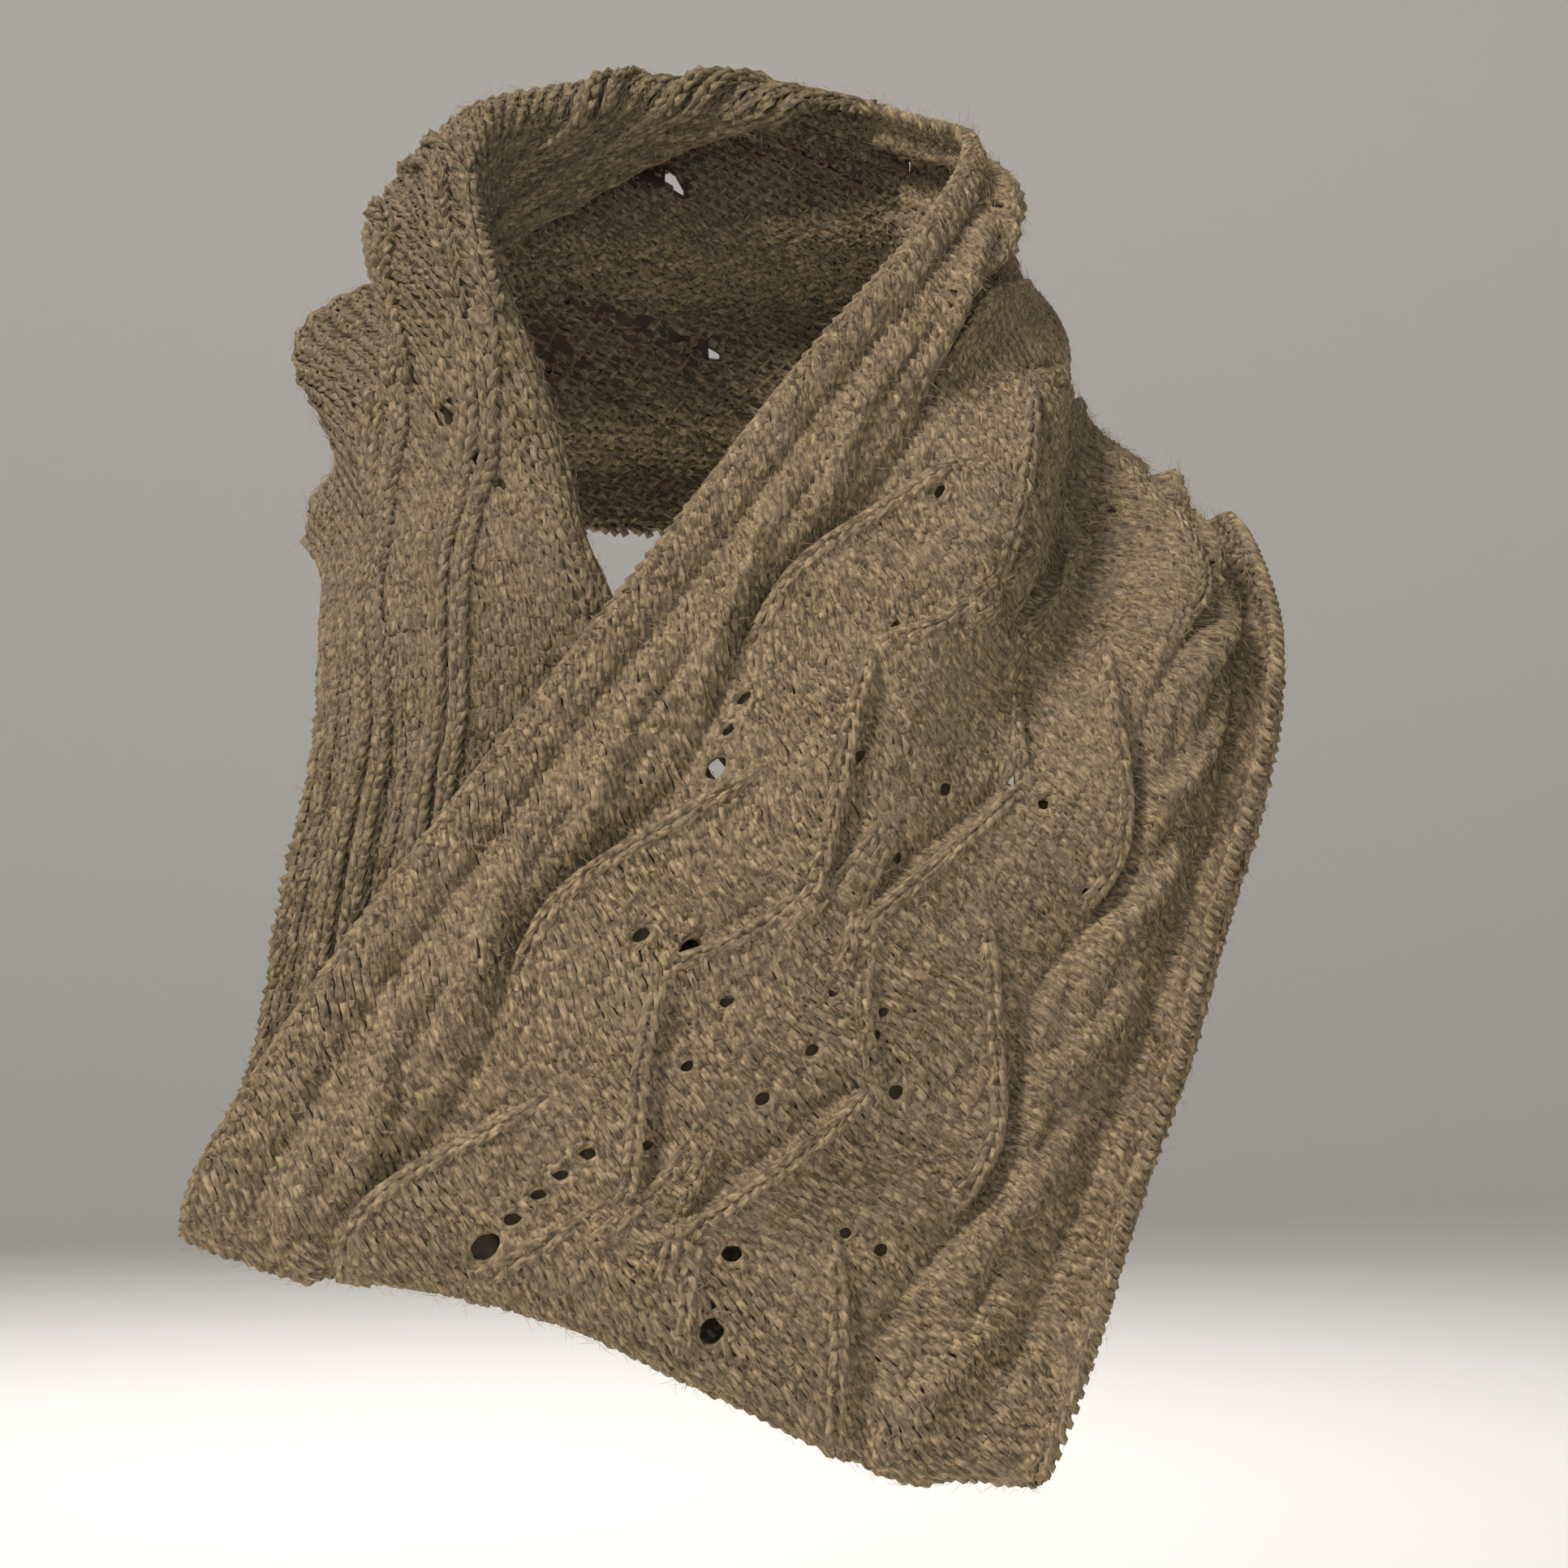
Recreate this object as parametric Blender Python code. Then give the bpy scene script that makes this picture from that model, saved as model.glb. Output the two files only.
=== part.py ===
"""Cowl scarf as it is worn: one knitted band with rope cables and a leaf-lace panel,
its ends grafted together with a half turn.

The wearer faces -Y and +Z is up. The origin is the middle of the neck opening, at the
height where the neck carries the scarf. The tables are in millimetres.

Along the band, edge A is the border that lies at the neck on the front stretch, and edge B
is the outer border there. After the half turn at the nape each takes the other's place.
"""
from collections import namedtuple

import bpy
import numpy as np

MM = 0.001

# The flat band, measured across from edge A to edge B. The knitting is mirrored about its
# middle line, and these are distances from that line.
BAND_WIDTH = 200.0
MIDDLE = 95.0
BORDER_OFFSET = 84.0
GROOVE_OFFSET = 82.0
GROOVE_WIDTH = 3.0
ROPE_OFFSET = 69.0
ROPE_END = 54.0
LINE_OFFSET = 58.2
LINE_WANDER = 5.3
LINE_LAG = 0.16
LINE_WIDTH = 3.0

WALL = 3.0
SEAM_GAP = 0.3
BORDER_STEP = 3.6
ROPE_STEP = 4.4
PANEL_STEP = 7.0
TUCK_STEP = 13.0
SMALL_STEP = 0.01
LAP = 8
CURL_B = 11
CURL_RADIUS = 6.0
TUCK_GATHER = 0.4

# Relief on the side that shows.
BORDER_RISE = 1.0
GROOVE_DROP = 0.9
LINE_DROP = 1.0
ROPE_RISE = 2.4
ROPE_OVER = 0.9
ROPE_LAG = 0.015
ROPE_SWING = 4.4
STRAND_WIDTH = 4.4
RIB_RISE = 2.2
RIB_WIDTH = 4.0
RIB_TAPER = 0.06
LEAF_REPEAT = 77.6
FIRST_HEART = 36.6
LEAF_SLOPE = 0.16
COLUMN_RISE = 1.6
COLUMN_WIDTH = 2.4
COLUMN_GAP = 3.1

# Ribs of the leaf panel, repeated with every leaf: phases of the repeat and distances from
# the middle line at the rib's knots.
Rib = namedtuple("Rib", "name phases offsets")
RIBS = [
    Rib("outer", (0.56, 0.72, 0.90, 1.04, 1.18, 1.34), (33, 41, 50, 56.5, 58.5, 56)),
    Rib("inner", (0.14, 0.34, 0.56, 0.76, 0.84), (28.5, 22.5, 14.5, 8.5, 9.5)),
    Rib("heart", (0.76, 0.90, 1.02, 1.14), (9, 13, 19, 28)),
]

# Pairs of knit columns that stand out on the wrong side: places along the band and across it.
Column = namedtuple("Column", "name along across")
COLUMNS = [
    Column("outer", (340, 478, 538, 577, 606, 638, 690, 740, 790),
           (14, 14, 19, 43, 66, 86, 60, 25, 14)),
    Column("inner", (340, 490, 523, 550, 567, 579, 607, 640, 690, 740, 790),
           (36, 32, 41, 53, 69, 78, 92, 106, 85, 50, 36)),
    Column("tucked inner", (340, 790), (154, 154)),
    Column("tucked outer", (340, 790), (177, 177)),
]

# Lengthwise folds, as fractions of the width that lies open.
FOLD_COUNT = 2.5
VALLEY_SPREAD = 0.17
HEM_WAVE = 6.0
HEM_PLACE = 0.16
EDGE_EASE = 0.16

# Pegs that cut the eyelets of the lace that are wide enough to be open.
EYELET_SIDES = 6
EYELET_LENGTH = 10.0

YARN_COLOUR = (0.235, 0.175, 0.115, 1.0)
YARN_ROUGHNESS = 0.95

# One row for each section across the band, in order along it. a and b are the two edges.
# bow lifts the middle, fold is the height of the lengthwise folds, valley the depth of the
# one deep drape, all towards the band's right side, and place is where across it lies.
# curl_a and curl_b are how much of each edge is turned over, positive towards the right
# side, and hem is 1 on the bottom fold.
Section = namedtuple("Section", "name a b bow fold valley place curl_a curl_b hem")
SECTIONS = [
    Section("graft", (36, 57, 30), (66, 84, -64), 4, 6, 0, 0.62, -6, 6, 0),
    Section("left shoulder back", (52, 28, 27), (96, 50, -70), -4, 2, 2, 0.62, 0, 14, 0),
    Section("left shoulder", (56, -4, 19), (105, 8, -67), -6, 1, 3, 0.62, 0, 18, 0),
    Section("collar front", (40, -44, -4), (113, -35, -86), -4, 1, 12, 0.62, 0, 18, 0),
    Section("front 1", (18, -63, -29), (115, -56, -102), 3, 0, 15, 0.62, 0, 18, 0),
    Section("front 2", (-3, -74, -56), (110, -70, -126), 8, 0, 9, 0.62, 0, 18, 0),
    Section("front 3", (-27, -85, -86), (102, -82, -150), 12, 0, 4, 0.6, 0, 18, 0),
    Section("front 4", (-54, -96, -120), (94, -92, -177), 13, 0, 0, 0.6, 0, 17, 0),
    Section("front 5", (-80, -104, -154), (83, -101, -206), 11, 0, 0, 0.6, 0, 16, 0.1),
    Section("front 6", (-100, -110, -184), (74, -109, -234), 8, 0, 0, 0.6, 0, 14, 0.5),
    Section("front hem", (-110, -114, -204), (65, -117, -256), 4, 0, 0, 0.5, 0, 10, 1),
    Section("bottom fold", (-111, -108.5, -211), (64, -111.5, -263), 0, 0, 0, 0.5, 0, 7, 1),
    Section("back hem", (-109, -103, -203), (65, -106, -255), -2, 0, 0, 0.5, 0, 7, 1),
    Section("under 1", (-99, -98, -179), (68, -99, -226), -4, 0, 0, 0.4, 0, 15, 0.4),
    Section("under 2", (-94, -90, -154), (46, -90, -186), -5, 0, 0, 0.4, 0, 45, 0),
    Section("under 3", (-90, -80, -130), (20, -82, -152), -6, 0, 0, 0.4, 0, 75, 0),
    Section("under 4", (-86, -68, -107), (-6, -78, -118), -6, 0, 0, 0.4, 0, 105, 0),
    Section("under 5", (-86, -50, -86), (-33, -71, -73), -6, 0, 0, 0.4, 0, 122, 0),
    Section("right neck", (-87, -26, -74), (-42, -58, -51), -6, -1, 0, 0.4, 0, 122, 0),
    Section("right neck top", (-93, 5, -68), (-55, -43, -18), -7, -2, 0, 0.4, 0, 118, 0),
    Section("right shoulder", (-88, 36, -70), (-65, -18, 4), -12, -6, 0, 0.4, 0, 110, 0),
    Section("right shoulder back", (-76, 66, -68), (-63, 14, 23), -13, -9, 0, 0.4, 0, 95, 0),
    Section("nape 1", (-38, 88, -66), (-46, 40, 31), -4, -7, 0, 0.38, 0, 75, 0),
    Section("nape 2", (2, 95, -65), (-18, 60, 35), 0, -6, 0, 0.38, -2, 48, 0),
    Section("nape 3", (38, 93, -65), (14, 64, 34), 0, -8, 0, 0.38, -4, 22, 0),
]

# Each stretch that shows: first and last section, the side of the band that shows (1 is its
# right side), how far apart its rows lie, and its number of columns.
Stretch = namedtuple("Stretch", "name start end shows row columns")
STRETCHES = [
    Stretch("front_wrap", 0.0, 12.0, 1, 6.0, 42),
    Stretch("under_wrap", 12.0, 19.0, -1, 7.4, 31),
    Stretch("nape_wrap", 19.0, 25.0, -1, 7.4, 31),
]

# Open eyelets: place along the band in leaf repeats from the first heart, place across it
# and radius.
Eyelet = namedtuple("Eyelet", "leaf across radius")
EYELETS = [
    Eyelet(0.0, 70.0, 2.1),
    Eyelet(0.0, 130.0, 2.1),
    Eyelet(1.0, 70.0, 2.1),
    Eyelet(1.0, 130.0, 2.1),
    Eyelet(2.0, 68.0, 2.1),
    Eyelet(2.2, 120.5, 2.1),
    Eyelet(2.54, 49.5, 2.2),
    Eyelet(3.0, 68.0, 2.2),
    Eyelet(3.0, 116.0, 2.1),
    Eyelet(3.21, 128.5, 2.1),
    Eyelet(3.78, 112.5, 2.1),
    Eyelet(4.0, 66.0, 2.8),
    Eyelet(4.0, 117.0, 2.4),
    Eyelet(5.0, 65.0, 2.2),
    Eyelet(5.0, 125.0, 2.2),
    Eyelet(6.0, 65.0, 2.2),
    Eyelet(6.0, 125.0, 2.2),
    Eyelet(7.0, 65.0, 2.2),
    Eyelet(7.0, 125.0, 2.2),
    Eyelet(8.0, 65.0, 2.2),
    Eyelet(8.0, 125.0, 2.2),
    Eyelet(9.0, 65.0, 2.2),
    Eyelet(9.0, 125.0, 2.2),
]


def smooth(knots, values, where):
    """Natural cubic spline through values at the knots, read at where."""
    gap = np.diff(knots)
    count = len(knots)
    system = np.eye(count)
    target = np.zeros(values.shape)
    slope = np.diff(values, axis=0) / gap[:, None]
    for i in range(1, count - 1):
        system[i, i - 1:i + 2] = gap[i - 1], 2 * (gap[i - 1] + gap[i]), gap[i]
        target[i] = 6 * (slope[i] - slope[i - 1])
    bend = np.linalg.solve(system, target)
    cell = np.clip(np.searchsorted(knots, where) - 1, 0, count - 2)
    left = ((knots[cell + 1] - where) / gap[cell])[:, None]
    right = 1 - left
    square = (gap[cell] ** 2)[:, None] / 6
    curve = (left ** 3 - left) * bend[cell] + (right ** 3 - right) * bend[cell + 1]
    return left * values[cell] + right * values[cell + 1] + square * curve


def turned(section):
    """The same section after the half turn: its edges and its sides change places."""
    return section._replace(
        a=section.b, b=section.a, bow=-section.bow, fold=-section.fold, valley=-section.valley,
        place=1 - section.place, curl_a=-section.curl_b, curl_b=-section.curl_a)


def section_values(where):
    """Every column of the table at places counted in sections along the closed band."""
    lap = [turned(s) for s in SECTIONS]
    rows = lap[-LAP:] + SECTIONS + lap[:LAP]
    table = np.array([[*s.a, *s.b, *s[3:]] for s in rows], dtype=float)
    middle = (table[:, 0:3] + table[:, 3:6]) / 2
    steps = np.linalg.norm(np.diff(middle, axis=0), axis=1) ** 0.5
    knots = np.concatenate([[0], np.cumsum(steps)])
    return smooth(knots, table, np.interp(where, np.arange(len(rows)) - LAP, knots))


def unit(vectors):
    return vectors / np.linalg.norm(vectors, axis=-1, keepdims=True)


def middle_surface(where, across):
    """Points of the cloth's middle, a row for each place along and a column for each across.

    Each section is a straight chord from edge to edge, lifted by its bow, folds and valley.
    What is turned over at an edge leaves the chord on an arc and runs back along it.
    """
    values = section_values(where)
    step = section_values(np.add(where, SMALL_STEP)) - section_values(np.subtract(where, SMALL_STEP))
    a, b = values[:, 0:3], values[:, 3:6]
    bow, fold, valley, place, curl_a, curl_b, hem = (values[:, i:i + 1] for i in range(6, 13))
    chord = unit(b - a)
    lift = unit(np.cross(step[:, 0:3] + step[:, 3:6], chord))
    open_start = np.abs(curl_a)
    open_end = BAND_WIDTH - np.abs(curl_b)
    x = np.broadcast_to(across, (len(where), np.shape(across)[-1]))
    t = np.clip((x - open_start) / (open_end - open_start), 0, 1)
    from_valley = ((t - place) / VALLEY_SPREAD) ** 2
    drape = valley * (2 * from_valley - 1) * np.exp(-from_valley)
    folds = fold * np.sin(2 * np.pi * FOLD_COUNT * t)
    inside = np.clip(np.minimum(t, 1 - t) / EDGE_EASE, 0, 1)
    inside = inside ** 2 * (3 - 2 * inside)
    height = bow * np.sin(np.pi * t) ** 2 + (drape + folds) * inside
    out_a, up_a = turned_edge(np.maximum(open_start - x, 0), curl_a)
    out_b, up_b = turned_edge(np.maximum(x - open_end, 0), curl_b)
    length = np.linalg.norm(b - a, axis=1)[:, None]
    reach = length * t - out_a + out_b
    height = height + up_a + up_b
    dip = hem * HEM_WAVE * np.sin(2 * np.pi * (t - HEM_PLACE)) * inside
    points = a[:, None] + reach[..., None] * chord[:, None] + height[..., None] * lift[:, None]
    points[..., 2] += dip
    return points


def turned_edge(past, curl):
    """How far the turned edge lies out along the chord and up, past its bend."""
    angle = np.minimum(past / CURL_RADIUS, np.pi)
    straight = TUCK_GATHER * (past - angle * CURL_RADIUS)
    out = CURL_RADIUS * np.sin(angle) + straight * np.cos(angle)
    up = CURL_RADIUS * (1 - np.cos(angle)) + straight * np.sin(angle)
    return out, up * np.sign(curl)


def rope(offset, phase):
    """Two strands that swing across the rope's centre line, half a twist apart."""
    swing = ROPE_SWING * np.cos(2 * np.pi * (phase - ROPE_LAG))
    over = ROPE_OVER * np.sin(2 * np.pi * (phase - ROPE_LAG))
    first = (ROPE_RISE + over) * np.exp(-((offset - ROPE_OFFSET - swing) / STRAND_WIDTH) ** 2)
    second = (ROPE_RISE - over) * np.exp(-((offset - ROPE_OFFSET + swing) / STRAND_WIDTH) ** 2)
    return np.maximum(first, second)


def rib(knots, offset, phase):
    """A raised rib along the line through its knots, once in each leaf."""
    first, last = knots.phases[0], knots.phases[-1]
    along = np.mod(phase - first, 1.0)
    line = np.interp(along + first, knots.phases, knots.offsets)
    ends = np.clip(np.minimum(last - first - along, along) / RIB_TAPER, 0, 1)
    return RIB_RISE * ends * np.exp(-((offset - line) / RIB_WIDTH) ** 2)


def relief(x, y, shows):
    """Height at x across the band and y along it, on its right side or its wrong side.

    The right side has borders, ropes, a wandering sunk line beside each rope and leaf ribs.
    The wrong side has borders and pairs of knit columns.
    """
    offset = np.abs(x - MIDDLE)
    border = BORDER_RISE * np.clip(offset - BORDER_OFFSET, 0, 1)
    if shows < 0:
        ridges = np.zeros(np.broadcast(x, y).shape)
        for column in COLUMNS:
            away = np.abs(x - np.interp(y, column.along, column.across)) - COLUMN_GAP
            ridges = np.maximum(ridges, COLUMN_RISE * np.exp(-(away / COLUMN_WIDTH) ** 2))
        return np.maximum(border, ridges)
    phase = (y - LEAF_SLOPE * (x - MIDDLE) - FIRST_HEART) / LEAF_REPEAT
    line = LINE_OFFSET + LINE_WANDER * np.cos(2 * np.pi * (phase - LINE_LAG))
    sunk = GROOVE_DROP * np.exp(-((offset - GROOVE_OFFSET) / GROOVE_WIDTH) ** 2)
    sunk = sunk + LINE_DROP * np.exp(-((offset - line) / LINE_WIDTH) ** 2)
    raised = np.maximum(border, rope(offset, phase))
    for knots in RIBS:
        raised = np.maximum(raised, rib(knots, offset, phase))
    return raised - sunk


def columns_across(stretch, where):
    """Places across each row: closer on borders, ropes and round the bend of a tucked edge."""
    fine = np.linspace(0, BAND_WIDTH, 801)
    offset = np.abs(fine - MIDDLE)
    spacing = np.where(offset > GROOVE_OFFSET - GROOVE_WIDTH, BORDER_STEP, ROPE_STEP)
    spacing = np.where(offset > ROPE_END, spacing, PANEL_STEP)
    past = fine - (BAND_WIDTH - np.abs(section_values(where)[:, CURL_B]))[:, None]
    bend = np.pi * CURL_RADIUS
    spacing = np.where((past > 0) & (past < bend), BORDER_STEP, spacing)
    spacing = np.where(past > bend, TUCK_STEP, spacing)
    cost = np.cumsum(1 / spacing, axis=1)
    cost = (cost - cost[:, :1]) / (cost[:, -1:] - cost[:, :1])
    even = np.linspace(0, 1, stretch.columns + 1)
    return np.array([np.interp(even, row, fine) for row in cost])


def rows_along(stretch):
    """Places along the band, evenly spaced but closer where it bends, an even number of gaps.

    The distances returned with them are measured from the first section of the band.
    """
    fine = np.linspace(0, len(SECTIONS), 2001)
    values = section_values(fine)
    middle = (values[:, 0:3] + values[:, 3:6]) / 2
    steps = np.diff(middle, axis=0)
    length = np.linalg.norm(steps, axis=1)
    bend = np.append(np.linalg.norm(np.diff(unit(steps), axis=0), axis=1), 0)
    cost = np.concatenate([[0], np.cumsum(length + 2 * stretch.row * bend)])
    distance = np.concatenate([[0], np.cumsum(length)])
    first, last = np.interp([stretch.start, stretch.end], fine, cost)
    count = 2 * round((last - first) / stretch.row / 2)
    places = np.interp(np.linspace(first, last, count + 1), cost, fine)
    places[0] += seam_inset(places[0], 1)
    places[-1] -= seam_inset(places[-1], -1)
    return places, np.interp(places, fine, distance)


def seam_inset(place, inwards):
    """How far to stop short of a seam for half its gap where the rows lie closest."""
    across = np.linspace(0, BAND_WIDTH, 60)
    pair = [place, place + inwards * SMALL_STEP]
    normals = surface_normals(pair, across) * (WALL / 2 + ROPE_RISE + ROPE_OVER)
    ends = middle_surface(pair, across)
    sides = np.concatenate([ends + normals, ends - normals], axis=1)
    closest = np.linalg.norm(sides[1] - sides[0], axis=1).min() / SMALL_STEP
    return SEAM_GAP / 2 / closest


def surface_normals(where, across):
    """Unit normals of the middle surface, on the band's right side."""
    ahead = middle_surface(np.add(where, SMALL_STEP), across)
    behind = middle_surface(np.subtract(where, SMALL_STEP), across)
    right = middle_surface(where, np.add(across, SMALL_STEP))
    left = middle_surface(where, np.subtract(across, SMALL_STEP))
    return unit(np.cross(ahead - behind, right - left))


def grid_faces(index):
    """Four-sided faces over a grid of vertex numbers."""
    return np.stack([index[:-1, :-1], index[:-1, 1:], index[1:, 1:], index[1:, :-1]], -1).reshape(-1, 4)


def knit_material(name):
    material = bpy.data.materials.new(name)
    material.use_nodes = True
    shader = material.node_tree.nodes["Principled BSDF"]
    shader.inputs["Base Color"].default_value = YARN_COLOUR
    shader.inputs["Roughness"].default_value = YARN_ROUGHNESS
    shader.inputs["Metallic"].default_value = 0.0
    return material


def stretch_wall(stretch):
    """A closed wall: relief on the side that shows, plain inside with half as many rows."""
    where, distance = rows_along(stretch)
    across = columns_across(stretch, where)
    middle = middle_surface(where, across)
    normal = surface_normals(where, across) * stretch.shows
    rise = relief(across, distance[:, None], stretch.shows)
    outer = middle + normal * (WALL / 2 + rise)[..., None]
    inner = (middle - normal * WALL / 2)[::2]
    outer_index = np.arange(outer[..., 0].size).reshape(outer.shape[:2])
    inner_index = outer_index.size + np.arange(inner[..., 0].size).reshape(inner.shape[:2])
    faces = grid_faces(outer_index).tolist()
    faces += grid_faces(inner_index)[:, ::-1].tolist()
    for first, last in ((0, 0), (-1, -1)):
        top, low = outer_index[first], inner_index[last]
        strip = np.stack([top[:-1], low[:-1], low[1:], top[1:]], -1)
        faces += (strip if first == 0 else strip[:, ::-1]).tolist()
    for side in (0, -1):
        top, low = outer_index[:, side], inner_index[:, side]
        strip = [[top[2 * k], top[2 * k + 1], top[2 * k + 2], low[k + 1], low[k]]
                 for k in range(len(low) - 1)]
        faces += [face if side == 0 else face[::-1] for face in strip]
    if stretch.shows > 0:
        faces = [face[::-1] for face in faces]
    mesh = bpy.data.meshes.new(stretch.name)
    mesh.from_pydata((np.concatenate([outer.reshape(-1, 3), inner.reshape(-1, 3)]) * MM).tolist(), [], faces)
    mesh.shade_smooth()
    mesh.materials.append(knit_material(stretch.name + "_wool"))
    wall = bpy.data.objects.new(stretch.name, mesh)
    bpy.context.collection.objects.link(wall)
    return wall


def eyelet_cutter(stretch):
    """Six-sided pegs through the wall, one for each open eyelet of the stretch."""
    where, distance = rows_along(stretch)
    turn = 2 * np.pi * np.arange(EYELET_SIDES)[:, None] / EYELET_SIDES
    points, faces = [], []
    for eyelet in EYELETS:
        along = FIRST_HEART + eyelet.leaf * LEAF_REPEAT
        if not distance[0] < along < distance[-1]:
            continue
        place = [np.interp(along, distance, where)]
        centre = middle_surface(place, [eyelet.across])[0, 0]
        normal = surface_normals(place, [eyelet.across])[0, 0]
        sideways = unit(np.cross(normal, (0.0, 0.0, 1.0)))
        upward = np.cross(sideways, normal)
        ring = centre + eyelet.radius * (np.cos(turn) * sideways + np.sin(turn) * upward)
        base = len(points)
        points += (ring - normal * EYELET_LENGTH / 2).tolist() + (ring + normal * EYELET_LENGTH / 2).tolist()
        low = [base + k for k in range(EYELET_SIDES)]
        high = [base + EYELET_SIDES + k for k in range(EYELET_SIDES)]
        faces += [low, high[::-1]]
        faces += [[low[k], high[k], high[k - EYELET_SIDES + 1], low[k - EYELET_SIDES + 1]]
                  for k in range(EYELET_SIDES)]
    mesh = bpy.data.meshes.new(stretch.name + "_pegs")
    mesh.from_pydata((np.array(points) * MM).tolist(), [], faces)
    cutter = bpy.data.objects.new(mesh.name, mesh)
    cutter.hide_render = True
    cutter.display_type = "WIRE"
    bpy.context.collection.objects.link(cutter)
    return cutter


def main():
    for old in list(bpy.data.objects):
        bpy.data.objects.remove(old, do_unlink=True)
    for stretch in STRETCHES:
        cut = stretch_wall(stretch).modifiers.new("eyelets", "BOOLEAN")
        cut.object = eyelet_cutter(stretch)


main()
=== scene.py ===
"""Cowl scarf, worn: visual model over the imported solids.

One knitted band, 200 mm wide and 790 mm round, with garter borders, a rope cable along each
side and a leaf-lace panel between them. Its ends are grafted with a half turn at the nape.

Every stitch is real geometry. In front a course of the knitting is one tube of yarn that runs
along the band in loops, and past the bottom fold a row is one that runs across it. The chart
moves and lifts the stitches into borders, ropes, ribs and eyelets, and the draped middle surface
of the band carries them all the way round.

Band places are in millimetres: across from edge A (the inner edge in front) to edge B, and
along from the graft, down the front, round the fold at the bottom and up round the back.
"""
import math
from collections import namedtuple

import bpy
import numpy as np
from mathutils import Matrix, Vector


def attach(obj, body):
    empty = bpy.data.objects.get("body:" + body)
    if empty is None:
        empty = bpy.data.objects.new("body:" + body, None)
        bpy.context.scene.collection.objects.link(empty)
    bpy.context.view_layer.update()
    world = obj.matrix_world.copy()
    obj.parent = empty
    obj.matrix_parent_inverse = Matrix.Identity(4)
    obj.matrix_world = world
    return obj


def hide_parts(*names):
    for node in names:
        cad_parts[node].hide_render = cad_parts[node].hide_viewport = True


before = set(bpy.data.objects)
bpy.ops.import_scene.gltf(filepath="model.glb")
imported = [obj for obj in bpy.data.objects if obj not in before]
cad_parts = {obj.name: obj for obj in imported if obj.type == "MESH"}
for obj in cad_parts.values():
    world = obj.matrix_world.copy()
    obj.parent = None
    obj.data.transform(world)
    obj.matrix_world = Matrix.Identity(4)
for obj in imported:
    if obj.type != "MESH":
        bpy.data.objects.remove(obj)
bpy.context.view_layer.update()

MM = 0.001
SMALL_STEP = 0.01
TAU = 2 * np.pi

# ---------------------------------------------------------------- the band and its drape

BAND_WIDTH = 200.0

# The edges that are turned over, the lengthwise folds, and the wave of the bottom fold.
CURL_RADIUS = 6.0
TUCK_GATHER = 0.4
FOLD_COUNT = 2.5
VALLEY_SPREAD = 0.17
HEM_WAVE = 6.0
HEM_PLACE = 0.16
EDGE_EASE = 0.16

# The smooth curve through the closed band runs on for LAP sections past the graft. CURL_B is
# the column of the table that holds the turned edge B.
LAP = 8
CURL_B = 11

# Sections at the bottom fold and at the ends of the stretches.
FOLD_SECTION = 11
FRONT_END_SECTION = 12
UNDER_END_SECTION = 19

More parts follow.
